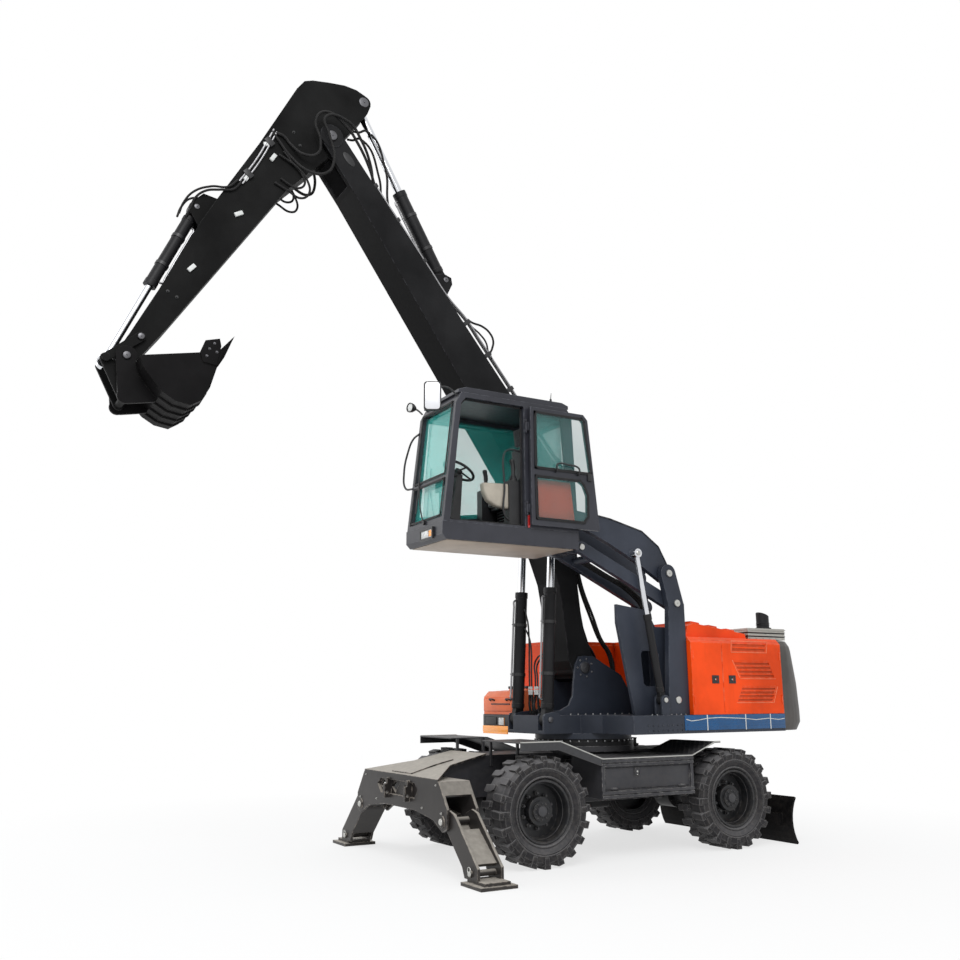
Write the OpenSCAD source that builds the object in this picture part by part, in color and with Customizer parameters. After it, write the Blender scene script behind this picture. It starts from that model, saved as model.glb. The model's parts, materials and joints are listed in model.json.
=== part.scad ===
// Wheeled material handler with a raised cab, as separate named sub-parts. Units are millimetres.
// +X is forward, +Y is the driver's left, +Z is up and the ground is z = 0.
// Points of a side view are [x, z], of a plan [x, y] and of a front view [y, z].

/* [Chassis] */
// distance between the axles
wheelbase = 2820; // [2760:10:3000]
// front axle ahead of the slew axis
front_axle = 1390; // [1360:10:1420]
// outside diameter of a tyre over its lugs
tyre_d = 1200; // [1140:10:1220]
// width of a tyre
tyre_w = 420; // [380:5:430]
// width over the tyres
over_tyres = 2460; // [2440:10:2540]
// diameter of a rim
rim_d = 670; // [620:10:690]
// lugs round one shoulder of a tyre
lug_n = 20; // [16:1:22]
// height of a lug
lug_h = 30; // [20:1:36]
// half width of the main frame
frame_hw = 400; // [360:5:410]
// top of the main frame
frame_top = 1180; // [1160:5:1190]
// width over the side boxes
over_boxes = 2512; // [2480:4:2540]

/* [Outriggers and blade] */
// distance between the feet
foot_span = 3512; // [3440:10:3600]
// middle of the outrigger beam ahead of the slew axis
beam_x = 2430; // [2420:5:2480]
// outrigger beam from front plate to rear plate
beam_l = 380; // [340:5:400]
// length and width of a foot
foot_w = 420; // [360:5:460]
// width of the blade
blade_w = 2584; // [2480:10:2640]
// height of the blade
blade_h = 580; // [520:5:620]

/* [Upper structure] */
// underside of the upper frame
deck_z = 1400; // [1395:5:1430]
// depth of the upper frame
deck_h = 220; // [200:5:230]
// half width of the upper structure
deck_hw = 1268; // [1240:4:1290]
// height of the engine hood over the deck
hood_h = 955; // [900:5:1000]
// length of the engine hood
hood_l = 1541; // [1500:5:1580]
// rear swing radius
tail_r = 3000; // [2960:10:3040]
// wall of hoods and panels
skin = 40; // [30:1:45]

/* [Boom and stick] */
// boom foot pin ahead of the slew axis
foot_x = 149; // [130:1:170]
// boom foot pin above ground
foot_z = 2208; // [2190:2:2240]
// boom from foot pin to head pin
boom_l = 7436; // [7300:10:7560]
// angle of the boom's pin line above level
boom_a = 60.9; // [60:0.1:62]
// half width of the boom box
boom_hw = 250; // [240:1:252]
// stick from head pin to bucket pin
stick_l = 3962; // [3900:10:4040]
// angle of the stick's pin line below level
stick_a = 55.7; // [55:0.1:56.5]
// half width of the stick box
stick_hw = 175; // [165:1:178]
// plate of the boom and the stick
box_t = 22; // [16:1:26]

/* [Bucket] */
// width of the bucket
bucket_w = 1100; // [900:10:1200]
// teeth along the lip
tooth_n = 5; // [4:1:6]
// plate of the bucket
bucket_t = 24; // [18:1:28]

/* [Cab] */
// underside of the raised cab
cab_z = 3540; // [3530:2:3560]
// height of the cab
cab_h = 1780; // [1740:5:1820]
// length of the cab at its floor
cab_l = 1800; // [1780:5:1830]
// right side of the cab
cab_y0 = 438; // [436:1:450]
// left side of the cab
cab_y1 = 1360; // [1350:1:1380]
// wall of the cab
cab_t = 55; // [45:1:60]
// lift arm between its pins
lift_l = 1507; // [1480:1:1520]
// angle of the lift arms above level
lift_a = 24.8; // [24:0.1:26]

/* [Fits] */
// play round a pin
fit = 0.4; // [0.3:0.1:0.6]
// space beside a moving piece
gap = 8; // [6:1:8]

/* [Hidden] */
$fn = 48;

// colours
orange = [0.93, 0.40, 0.10];
black = [0.10, 0.10, 0.11];
dark = [0.22, 0.22, 0.24];
rubber = [0.06, 0.06, 0.065];
steel = [0.75, 0.76, 0.78];
glass = [0.45, 0.65, 0.68, 0.4];
cream = [0.80, 0.74, 0.62];
lamp_c = [0.92, 0.92, 0.88];

// chassis places
tyre_r = tyre_d / 2;
tyre_y = (over_tyres - tyre_w) / 2;
rear_axle_x = front_axle - wheelbase;
frame_bot = 640;
frame_x1 = beam_x - beam_l / 2;
frame_x0 = rear_axle_x - 560;
king_y = tyre_y - tyre_w / 2 - 20;
hub_y = tyre_y - 40;
box_y = over_boxes / 2;
fender_z = deck_z - 62;
box_x1 = front_axle - tyre_r - 160;
box_x0 = rear_axle_x + tyre_r + 90;
box_top = 1154;

// upper places
deck_top = deck_z + deck_h;
hood_top_z = deck_top + hood_h;
hood_x1 = -775;
hood_x0 = hood_x1 - hood_l;
tank_x1 = 230;
rbox_x1 = 760;

// boom frame: u runs from the foot pin to the head pin, v stands square to it on the back's side
uk = boom_l / 7436;
function boom_pt(u, v) = [foot_x + u * uk * cos(boom_a) - v * sin(boom_a),
    foot_z + u * uk * sin(boom_a) + v * cos(boom_a)];
function boom_pts(list) = [for (p = list) boom_pt(p[0], p[1])];
foot_pin = [foot_x, foot_z];
head_pin = boom_pt(7436, 0);
boom_pin_top = boom_pt(2106, 621);
boom_pin_low = [780, 1570];
stick_cyl_low = boom_pt(5295, 739);

// stick frame: s runs from the head pin to the bucket pin, n stands square to it on the front
sk = stick_l / 3962;
function stick_pt(s, n) = [head_pin[0] + s * sk * cos(stick_a) + n * sin(stick_a),
    head_pin[1] - s * sk * sin(stick_a) + n * cos(stick_a)];
function stick_pts(list) = [for (p = list) stick_pt(p[0], p[1])];
bell_pin = stick_pt(-800, 0);
bucket_pin = stick_pt(3962, 0);
rocker_pin = bucket_pin - [290, -27] * rot_m(-stick_a);
link_pin = bucket_pin + [135, 144] * rot_m(-stick_a);
ear_pin = bucket_pin + [357, -266] * rot_m(-stick_a);
bucket_cyl_low = stick_pt(1950, 560);
rod_eye = 72;
function rot_m(a) = [[cos(a), sin(a)], [-sin(a), cos(a)]];

// cab lift: two equal arms between the tower and the cab's back
tower_lo = [-636, 2987];
tower_hi = tower_lo + [106, 371];
lift_v = [cos(lift_a), sin(lift_a)] * lift_l;
cab_lo = tower_lo + lift_v;
cab_hi = tower_hi + lift_v;
// the lift arm keeps clear of the boom cylinders on a narrow deck
lift_y = max(deck_hw - 438, boom_hw + 420);
lift_cyl_y = lift_y + 340;
lift_cyl_low = [-360, 1800];
lift_cyl_top = tower_hi + [474, 228];

// cab places
cab_x0 = cab_lo[0] + 220;
cab_x1 = cab_x0 + cab_l;
cab_top = cab_z + cab_h;
cab_sill = cab_z + 200;
hinge_x = cab_x0 + 720;
hinge_y = cab_y1 + 15;
door_t = 40;
hinge_zs = [cab_sill + 180, cab_top - 420];

// the row's origin is under the middle of the whole box
front_most = link_pin[0] + rod_eye;
mid_x = (front_most - tail_r) / 2;

// moves a design point set about the slew axis to the row's frame
module world() translate([-mid_x, 0, 0]) children();
// side view outline, run from y0 to y1
module plate(pts, y0, y1) translate([0, y1, 0]) rotate([90, 0, 0]) linear_extrude(y1 - y0) polygon(pts);
// plan outline, run from z0 to z1
module slab(pts, z0, z1) translate([0, 0, z0]) linear_extrude(z1 - z0) polygon(pts);
// front view outline, run from x0 to x1
module wall(pts, x0, x1) translate([x0, 0, 0]) rotate([90, 0, 90]) linear_extrude(x1 - x0) polygon(pts);
// box from its low corner to its high corner
module box(a, b) translate(a) cube(b - a);
// round pin across the machine at a side view point
module pin(p, r, y0, y1) translate([p[0], y0, p[1]]) rotate([-90, 0, 0]) cylinder(h = y1 - y0, r = r);
// round pin along the machine at a front view point
module pin_x(p, r, x0, x1) translate([x0, p[0], p[1]]) rotate([0, 90, 0]) cylinder(h = x1 - x0, r = r);
// upright round
module post(x, y, r, z0, z1) translate([x, y, z0]) cylinder(h = z1 - z0, r = r);
// round bar between two side view points, from distance d0 to d1 along the way
module bar(a, b, y, r, d0, d1) {
    d = b - a;
    translate([a[0], y, a[1]]) rotate([0, atan2(d[0], d[1]), 0]) translate([0, 0,
        d0]) cylinder(h = d1 - d0, r = r);
}
// flat bar between two side view points
module strap(a, b, w0, w1, y0, y1) {
    d = (b - a) / norm(b - a);
    n = [-d[1], d[0]];
    plate([a + n * w0, a - n * w0, b - n * w1, b + n * w1], y0, y1);
    pin(a, w0, y0, y1);
    pin(b, w1, y0, y1);
}
module sides() {
    children();
    mirror([0, 1, 0]) children();
}
// hydraulic barrel with a closed foot eye at a on a flat neck, and an open bore towards b
module barrel(a, b, y, r, rod_r, len, eye_r, eye_w, eye_hole) {
    d = (b - a) / norm(b - a);
    n = [-d[1], d[0]];
    start = eye_r + 40;
    neck = min(eye_w / 2, r * 0.62);
    difference() {
        union() {
            bar(a, b, y, r, start, len);
            bar(a, b, y, r + 6, len - 70, len);
            bar(a, b, y, r + 5, start + 10, start + 60);
            plate([a + n * eye_r * 0.8, a - n * eye_r * 0.8, a + d * (start + 8) - n * r * 0.7,
                a + d * (start + 8) + n * r * 0.7], y - neck, y + neck);
            pin(a, eye_r, y - eye_w / 2, y + eye_w / 2);
        }
        bar(a, b, y, rod_r + 0.5, start + 30, len + 1);
        pin(a, eye_hole, y - eye_w, y + eye_w);
    }
}
// hydraulic rod from distance d0 up to its eye at b
module rod(a, b, y, r, d0, eye_r, eye_w) {
    bar(a, b, y, r, d0, norm(b - a) - eye_r * 0.6);
    pin(b, eye_r, y - eye_w / 2, y + eye_w / 2);
    pin(b, eye_r * 0.5, y - eye_w / 2 - 4, y + eye_w / 2 + 4);
}
// hollow box beam of a side view outline
module box_beam(pts, hw, t) difference() {
    plate(pts, -hw, hw);
    translate([0, hw - t, 0]) rotate([90, 0,
        0]) linear_extrude(2 * (hw - t)) offset(delta = -t) polygon(pts);
}

// chassis

module frame() color(dark) world() {
    sides() plate([[frame_x0, 760], [rear_axle_x - 240, frame_bot + 75], [rear_axle_x + 240,
        frame_bot + 75],
        [-700, frame_bot - 60], [700, frame_bot - 60], [front_axle - 240, frame_bot + 75],
        [front_axle + 240, frame_bot + 75], [frame_x1, 700], [frame_x1, 1060],
        [front_axle + 320, frame_top], [rear_axle_x - 160, frame_top], [frame_x0, 1060]],
        frame_hw - 40, frame_hw);
    slab([[rear_axle_x - 160, -frame_hw + 40], [front_axle + 320, -frame_hw + 40],
        [front_axle + 320, frame_hw - 40], [rear_axle_x - 160, frame_hw - 40]], frame_top - 40, frame_top);
    box([-700, -frame_hw + 40, frame_bot - 60], [700, frame_hw - 40, frame_bot - 20]);
    for (x = [frame_x0, rear_axle_x + 300, front_axle - 340, frame_x1 - 40])
        box([x, -frame_hw + 40, 765], [x + 40, frame_hw - 40, 1060]);
    post(0, 0, 640, frame_top, frame_top + 70);
    sides() for (x = [-560, 520]) plate([[x, 700], [x + 40, 700], [x + 40, 1100], [x, 1100]], frame_hw,
        640);
    sides() strap(blade_pin, [blade_pin[0] + 60, 800], 90, 90, 290, 330);
    sides() strap([blade_pin[0] + 60, 800], [blade_pin[0] + 60, 900], 90, 90, 290, frame_hw - 40);
    sides() pin(blade_pin, 45, 160, 330);
    sides() strap(blade_cyl_top, blade_cyl_top + [140, 0], 60, 60, 32, 50);
    sides() strap(blade_cyl_top, blade_cyl_top + [140, 0], 60, 60, 130, 148);
    sides() pin(blade_cyl_top, 28, 32, 148);
}

module slew_ring() color(steel) world() {
    difference() {
        union() {
            post(0, 0, 640, frame_top + 70, deck_z - 100);
            post(0, 0, 610, deck_z - 100, deck_z - 70);
        }
        post(0, 0, 480, frame_top + 60, deck_z);
    }
}

module axle_core(x, end_y) {
    sides() translate([x, 0, tyre_r]) rotate([-90, 0, 0]) cylinder(h = end_y, r1 = 120, r2 = 95);
    pin([x, tyre_r], 200, -150, 150);
    sides() plate([[x - 130, tyre_r + 90], [x + 130, tyre_r + 90], [x + 130, frame_bot + 75],
        [x - 130, frame_bot + 75]], frame_hw - 40, frame_hw);
    sides() box([x - 130, 150, tyre_r + 60], [x + 130, frame_hw, tyre_r + 92]);
}

module front_axle() color(black) world() {
    axle_core(front_axle, king_y - 90);
    sides() {
        for (z = [tyre_r - 180, tyre_r + 130]) {
            slab([[front_axle - 70, king_y - 120], [front_axle + 70, king_y - 120],
                [front_axle + 70, king_y], [front_axle - 70, king_y]], z, z + 50);
            post(front_axle, king_y, 70, z, z + 50);
        }
        box([front_axle - 70, king_y - 130, tyre_r - 180], [front_axle + 70, king_y - 88, tyre_r + 180]);
        post(front_axle, king_y, 35, tyre_r - 180, tyre_r + 180);
    }
}

module rear_axle() color(black) world() {
    axle_core(rear_axle_x, king_y + 30);
    sides() pin([rear_axle_x, tyre_r], 130, king_y, hub_y - gap);
    sides() pin([rear_axle_x, tyre_r], 50, hub_y - gap, hub_y + 40);
}

module knuckle(s) color(black) world() mirror([0, s, 0]) {
    difference() {
        union() {
            post(front_axle, king_y, 68, tyre_r - 180 + 50 + gap, tyre_r + 130 - gap);
            pin([front_axle, tyre_r], 110, king_y, hub_y - gap);
            pin([front_axle, tyre_r], 50, hub_y - gap, hub_y + 40);
        }
        post(front_axle, king_y, 35 + fit, tyre_r - 300, tyre_r + 300);
    }
}
module knuckle_l() knuckle(0);
module knuckle_r() knuckle(1);

// a wheel's outline is [radius, distance out from its middle]
module wheel_at(x, s) world() mirror([0, s, 0]) translate([x, tyre_y, tyre_r]) rotate([-90, 0,
    0]) children();
module tyre(x, s) color(rubber) wheel_at(x, s) {
    r = rim_d / 2;
    w = tyre_w / 2;
    c = tyre_r - lug_h;
    rotate_extrude($fn = 64) polygon([[r, -w + 70], [r + 24, -w + 40], [r + (c - r) * 0.45, -w], [c - 40,
        -w + 6],
        [c, -w + 46], [c, w - 46], [c - 40, w - 6], [r + (c - r) * 0.45, w], [r + 24, w - 40], [r,
            w - 70]]);
    for (i = [0:lug_n - 1], m = [0, 1])
        rotate(90 + (i + m / 2) * 360 / lug_n) mirror([0, 0, m]) translate([c - 20, 0, 0]) rotate([0, 90,
            0])
            linear_extrude(lug_h + 20) polygon([[-18, -34], [-18, 22], [-60, 46], [8 - w, 52],
                [8 - w, -26], [-70, -34]]);
}
module rim(x, s) color(dark) wheel_at(x, s) {
    r = rim_d / 2;
    w = tyre_w / 2 - 60;
    difference() {
        rotate_extrude($fn = 64) polygon([[150, -40], [r - 18, -40], [r - 18, -w], [r, -w], [r, w],
            [r + 10, w + 4],
            [r + 10, w + 22], [r - 18, w + 22], [r - 30, w - 10], [r - 45, -12], [150, -12]]);
        translate([0, 0, -w - 1]) cylinder(h = 20, r = r - 60);
    }
    difference() {
        union() {
            translate([0, 0, -40]) cylinder(h = 130, r = 155);
            translate([0, 0, 90]) cylinder(h = 26, r = 110);
            translate([0, 0, 116]) cylinder(h = 14, r = 40);
            for (a = [18:36:342]) rotate(a) translate([190, 0, -13]) cylinder(h = 26, r = 16);
        }
        translate([0, 0, -41]) cylinder(h = 85, r = 50 + fit);
    }
}
module tyre_fl() tyre(front_axle, 0);
module tyre_fr() tyre(front_axle, 1);
module tyre_rl() tyre(rear_axle_x, 0);
module tyre_rr() tyre(rear_axle_x, 1);
module rim_fl() rim(front_axle, 0);
module rim_fr() rim(front_axle, 1);
module rim_rl() rim(rear_axle_x, 0);
module rim_rr() rim(rear_axle_x, 1);

module side_boxes() color(black) world() sides() {
    difference() {
        box([box_x0, 640, 693], [box_x1, box_y - 40, box_top - 12]);
        box([box_x0 + 20, 660, 713], [box_x1 - 20, box_y - 60, box_top - 32]);
    }
    for (z = [700, 745, 1052, 1097]) box([box_x0, box_y - 40, z], [box_x1, box_y, z + 33]);
    for (z = [700, 1052]) box([box_x0, box_y - 40, z], [box_x1, box_y - 14, z + 78]);
    for (x = [box_x0, box_x1 - 40]) box([x, box_y - 40, 770], [x + 40, box_y - 12, 1060]);
    box([80, box_y - 41, 930], [155, box_y - 22, 1030]);
}

fender_l = 340;
module fender_decks() color(black) world() sides() {
    t = 14;
    plate([[front_axle + fender_l, fender_z], [front_axle - 190, fender_z], [box_x1 - 15, box_top - 12],
        [box_x0 + 15, box_top - 12], [rear_axle_x + 330, fender_z - 60],
        [rear_axle_x + 240, fender_z - 60], [rear_axle_x + 240, fender_z - 60 + t],
        [rear_axle_x + 326, fender_z - 60 + t], [box_x0 + 12, box_top - 12 + t],
        [box_x1 - 12, box_top - 12 + t], [front_axle - 192, fender_z + t],
        [front_axle + fender_l, fender_z + t]], frame_hw, box_y);
    plate([[front_axle + fender_l, fender_z - 80], [front_axle - 160, fender_z - 80],
        [box_x1 + 8, box_top - 90], [box_x1 + 8, box_top + 2], [front_axle - 190, fender_z + 5],
        [front_axle + fender_l, fender_z + 5]], box_y - t, box_y);
    for (x = [front_axle - 150, front_axle + 220, rear_axle_x + 250])
        plate([[x, frame_top - 120], [x + 30, frame_top - 120], [x + 30, fender_z - (x < 0 ? 60 : 0)],
            [x, fender_z - (x < 0 ? 60 : 0)]], frame_hw, frame_hw + 30);
}

// outriggers: outlines are [y, z]
leg_pin = [foot_span / 2 - 656, 560];
foot_pin_y = [foot_span / 2 - 96, 120];
module outrigger_beam() color(dark) world() {
    x0 = beam_x - beam_l / 2;
    x1 = beam_x + beam_l / 2;
    e = leg_pin[0] + 110;
    outline = [[-e, 500], [-e + 110, 455], [-e + 330, 560], [-420, 620], [420, 620], [e - 330, 560],
        [e - 110, 455],
        [e, 500], [e, 690], [e - 200, 960], [200 - e, 960], [-e, 690]];
    recess = [[-600, 840], [-500, 905], [420, 905], [500, 840], [420, 745], [-500, 745]];
    wall(outline, x0, x0 + 30);
    difference() {
        wall(outline, x1 - 30, x1);
        wall(recess, x1 - 40, x1 + 1);
    }
    difference() {
        wall([for (v = recess) v * 1.06 - [0, 49]], x1 - 60, x1 - 30);
        for (v = [[-560, -330], [-250, -20], [60, 330]])
            wall([[v[0], 825], [v[0] + 90, 885], [v[1], 885], [v[1] - 70, 825], [v[1] - 110, 765],
                [v[0] + 110, 765]],
                x1 - 70, x1 - 29);
    }
    wall([[-e + 330, 560], [-420, 620], [420, 620], [e - 330, 560], [e - 330, 600], [420, 655], [-420, 655],
        [-e + 330, 600]], x0 + 30, x1 - 30);
    wall([[e - 200, 960], [200 - e, 960], [100 - e, 825], [128 - e, 805], [220 - e, 925], [e - 220, 925],
        [e - 128, 805], [e - 100, 825]], x0 + 30, x1 - 30);
    intersection() {
        plate([[x1, 958], [x0, 1060], [front_axle + 320, frame_top], [front_axle + 310, frame_top + 22],
            [x0 + 4, 1082], [x1 + 2, 982]], -e, e);
        slab([[x1 + 10, 200 - e], [x1 + 10, e - 200], [x0 - 40, frame_hw + 90], [front_axle + 300,
            frame_hw + 40],
            [front_axle + 300, -frame_hw - 40], [x0 - 40, -frame_hw - 90]], 900, 1300);
    }
    plate([[x1 - 40, 990], [x0 + 10, 1078], [x0 - 200, 1124], [x0 - 200, 1142], [x0 + 14, 1096],
        [x1 - 36, 1005]],
        -260, 260);
    sides() pin_x(leg_pin, 40, x0, x1 + 16);
    sides() pin_x(leg_pin, 62, x1 - 1, x1 + 10);
    sides() for (y = [280]) difference() {
        wall([[y - 22, 700], [y + 22, 700], [y + 22, 925], [y - 22, 925]], x1 - 30, x1 + 60);
        pin([x1 + 30, 760], 16, y - 40, y + 40);
        wall([[y - 40, 930], [y + 40, 930], [y + 40, 860], [y - 40, 860]], x1 + 30, x1 + 80);
    }
}
module leg(s) color(dark) world() mirror([0, s, 0]) {
    x0 = beam_x - beam_l / 2 + 30 + gap;
    x1 = beam_x + beam_l / 2 - 30 - gap;
    flange = [leg_pin + [-70, 60], leg_pin + [70, 120], leg_pin + [190, 90], foot_pin_y + [130, 60],
        foot_pin_y + [130, -60], foot_pin_y + [-140, -60], foot_pin_y + [-190, 40], leg_pin + [20, -80],
            leg_pin + [-70, -50]];
    difference() {
        union() {
            for (x = [x0, x1 - 30]) wall(flange, x, x + 30);
            wall([leg_pin + [-30, -20], leg_pin + [20, -80], foot_pin_y + [-190, 40], foot_pin_y + [-120,
                60]], x0 + 30, x1 - 30);
            wall([leg_pin + [200, -90], leg_pin + [235, -60], foot_pin_y + [40, 90], foot_pin_y + [5,
                60]], x0 + 30, x1 - 30);
        }
        pin_x(leg_pin, 40 + fit, x0 - 1, x1 + 1);
    }
    pin_x(foot_pin_y, 32, x0 - 20, x1 + 20);
    box([beam_x - foot_w / 2, foot_span / 2 - foot_w / 2, 0], [beam_x + foot_w / 2,
        foot_span / 2 + foot_w / 2, 34]);
    box([beam_x - foot_w / 2 + 60, foot_span / 2 - foot_w / 2 + 30, 34], [beam_x + foot_w / 2 - 60,
        foot_span / 2 + foot_w / 2 - 40, 66]);
}
module leg_l() leg(0);
module leg_r() leg(1);

// blade
blade_pin = [rear_axle_x - 350, 600];
blade_x = rear_axle_x - tyre_r - 330;
blade_cyl_top = [frame_x0 - 90, 960];
blade_cyl_low = [blade_x + 190, 330];
module blade() color(dark) world() {
    n = 8;
    r = blade_h * 0.95;
    a = asin(blade_h / 2 / r);
    cx = blade_x - r * 0.86;
    plate(concat([for (i = [0:n]) [cx + r * cos(-a + 2 * a * i / n),
        blade_h / 2 + r * sin(-a + 2 * a * i / n)]],
        [for (i = [n:-1:0]) [cx + (r - 28) * cos(-a + 2 * a * i / n),
            blade_h / 2 + (r - 28) * sin(-a + 2 * a * i / n)]]),
        -blade_w / 2, blade_w / 2);
    difference() {
        sides() strap([blade_x + 60, 300], blade_pin, 110, 80, 170, 280);
        sides() pin(blade_pin, 45 + fit, 100, 400);
    }
    box([blade_x + 40, -blade_w / 2 + 150, 230], [blade_x + 130, blade_w / 2 - 150, 370]);
    sides() for (y = [17, 143]) plate([[blade_x + 60, 250], blade_cyl_low + [60, -50],
        blade_cyl_low + [60, 50], [blade_x + 60, 420]], y, y + 20);
}
module blade_barrels() color(dark) world() sides()
    barrel(blade_cyl_top, blade_cyl_low, 90, 42, 28, 385, 55, 70, 28 + fit);
module blade_rods() color(steel) world() sides()
    rod(blade_cyl_top, blade_cyl_low, 90, 28, 325, 46, 70);

// upper structure

module upper_frame() color(dark) world() {
    outline = [[880, -424], [880, 424], [330, 424], [200, 700], [160, deck_hw], [hood_x0, deck_hw],
        [hood_x0, -deck_hw], [rbox_x1, -deck_hw], [rbox_x1, -470], [640, -424]];
    difference() {
        slab(outline, deck_z, deck_top);
        translate([0, 0, deck_z - 1]) linear_extrude(deck_h - 39) difference() {
            offset(delta = -40) polygon(outline);
            circle(660);
            translate([-2400, 250]) square([3400, 50]);
            translate([-2400, -300]) square([3400, 50]);
        }
        post(0, 0, 300, deck_z - 100, deck_top - 60);
        sides() box([640, 292, deck_z + 40], [900, 396, deck_top + 1]);
    }
    difference() {
        post(0, 0, 620, deck_z - 70 + fit, deck_z + 1);
        post(0, 0, 470, deck_z - 70, deck_z + 2);
    }
    sides() {
        plate([[-660, deck_top - 10], [-560, 1900], [-420, 2120], [-140, foot_z + 60],
            [20, foot_z + 150], [foot_x + 90, foot_z + 140], [foot_x + 150, foot_z + 40],
            [330, 2020], [350, 1850], [410, 1740], [540, 1680], [boom_pin_low[0] - 40, 1665], [860, 1640],
            [878, 1570], [860, deck_top - 10]], 262, 292);
        pin(foot_pin, 150, 262, 292);
        plate([[620, deck_top - 10], [660, 1650], [boom_pin_low[0] - 40, 1665], [860, 1640], [878, 1570],
            [860, deck_top - 10]], 396, 424);
        pin(boom_pin_low, 40, 262, 424);
    }
    pin(foot_pin, 80, -298, 298);
    plate([[-700, deck_top - 10], [-560, 1900], [-520, 1900], [-640, deck_top - 10]], -262, 262);
    for (y = [lift_cyl_y - 78, lift_cyl_y + 46])
        strap(lift_cyl_low, [lift_cyl_low[0], deck_top + 20], 60, 60, y, y + 30);
    pin(lift_cyl_low, 28, lift_cyl_y - 78, lift_cyl_y + 76);
}

// plan of the counterweight, drawn in by d at its tail and by e at its sides
tail_corner = 450;
function tail_plan(d, e) = let (cy = deck_hw - tail_corner, cr = tail_r - tail_corner,
    cx = -sqrt(cr * cr - cy * cy), a0 = atan2(cy, -cx), half = concat(
        [[max(hood_x0, cx), deck_hw - e]],
        [for (a = [90:-10:a0 + 5]) let (r = tail_corner - e - (d - e) * (90 - a) / (90 - a0))
            [cx - r * cos(a), cy + r * sin(a)]],
        [for (a = [a0:-4:0]) [-(tail_r - d) * cos(a), (tail_r - d) * sin(a)]]))
    concat(half, [for (i = [len(half) - 1:-1:0]) [half[i][0], -half[i][1]]]);
module counterweight() color(dark) world() {
    x0 = hood_x0;
    intersection() {
        hull() {
            slab(tail_plan(60, 40), deck_z + 6, deck_z + 8);
            slab(tail_plan(0, 0), deck_z + 110, deck_z + 250);
            slab(tail_plan(30, 0), hood_top_z - 580, hood_top_z - 570);
            slab(tail_plan(130, 0), hood_top_z - 160, hood_top_z - 150);
            slab(tail_plan(165, 0), hood_top_z - 92, hood_top_z - 90);
            slab(tail_plan(220, 45), hood_top_z - 24, hood_top_z - 20);
        }
        box([-tail_r - 1, -deck_hw, deck_z], [x0, deck_hw, hood_top_z]);
    }
    sides() difference() {
        box([x0 - 270, 450, hood_top_z - 22], [x0 - 130, 490, hood_top_z + 90]);
        pin([x0 - 200, hood_top_z + 35], 30, 400, 540);
    }
}

// louvre panels of a hood side: outline [distance behind the hood's front, height over the deck]
louvre_panels = [[[690, 790], [1270, 790], [1290, 900], [700, 900]], [[820, 460], [1400, 460], [1310,
    665], [700, 665]],
    [[740, 160], [1350, 160], [1425, 345], [840, 345]]];
louvre_rows = [2, 4, 4];
shoulder = 70;
module louvres(face) {
    for (k = [0:2]) {
        q = [for (v = louvre_panels[k]) [hood_x1 - v[0], deck_top + v[1]]];
        z0 = q[0][1];
        dz = (q[2][1] - z0) / louvre_rows[k];
        difference() {
            plate(q, face - 16, face + 1);
            for (i = [0:louvre_rows[k] - 1])
                plate([[-5000, z0 + dz * (i + 0.55)], [0, z0 + dz * (i + 0.55)], [0, z0 + dz * (i + 1)],
                    [-5000, z0 + dz * (i + 1)]], face - 20, face - 3);
        }
    }
}
// room under the hoods, with sloping shoulders
module hood_room() wall([[-deck_hw, deck_top - 1], [deck_hw, deck_top - 1], [deck_hw, hood_top_z - shoulder],
    [deck_hw - shoulder, hood_top_z], [shoulder - deck_hw, hood_top_z], [-deck_hw, hood_top_z - shoulder]],
    hood_x0 - 1, tank_x1 + 1);
module hood_left() color(orange) world() intersection() {
    hood_room();
    hood_left_sheets();
}
module hood_left_sheets() {
    difference() {
        box([hood_x0, deck_hw - skin, deck_top], [hood_x1, deck_hw, hood_top_z - skin]);
        box([hood_x1 - 514, deck_hw - 8, deck_top + 20], [hood_x1 - 506, deck_hw + 1,
            hood_top_z - skin - 20]);
        louvres(deck_hw);
        for (x = [hood_x1 - 408, hood_x1 - 690])
            box([x, deck_hw - 12, deck_top + 395], [x + 56, deck_hw + 1, deck_top + 465]);
    }
    for (x = [hood_x1 - 408, hood_x1 - 690])
        box([x + 16, deck_hw - 14, deck_top + 408], [x + 40, deck_hw - 2, deck_top + 452]);
    box([hood_x1 - skin, -300, deck_top], [hood_x1, deck_hw - skin, hood_top_z - skin]);
}

module hood_right() color(orange) world() intersection() {
    hood_room();
    hood_right_sheets();
}
module hood_right_sheets() {
    difference() {
        box([hood_x0, -deck_hw, deck_top], [tank_x1, -deck_hw + skin, hood_top_z - skin]);
        for (x = [hood_x1 - 510, hood_x1 + 60])
            box([x - 4, -deck_hw - 1, deck_top + 20], [x + 4, -deck_hw + 8, hood_top_z - skin - 20]);
        mirror([0, 1, 0]) louvres(deck_hw);
    }
    box([tank_x1 - skin, -deck_hw + skin, deck_top], [tank_x1, -300 - skin, hood_top_z - skin]);
    box([hood_x1, -300 - skin, deck_top], [tank_x1, -300, hood_top_z - skin]);
}

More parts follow.
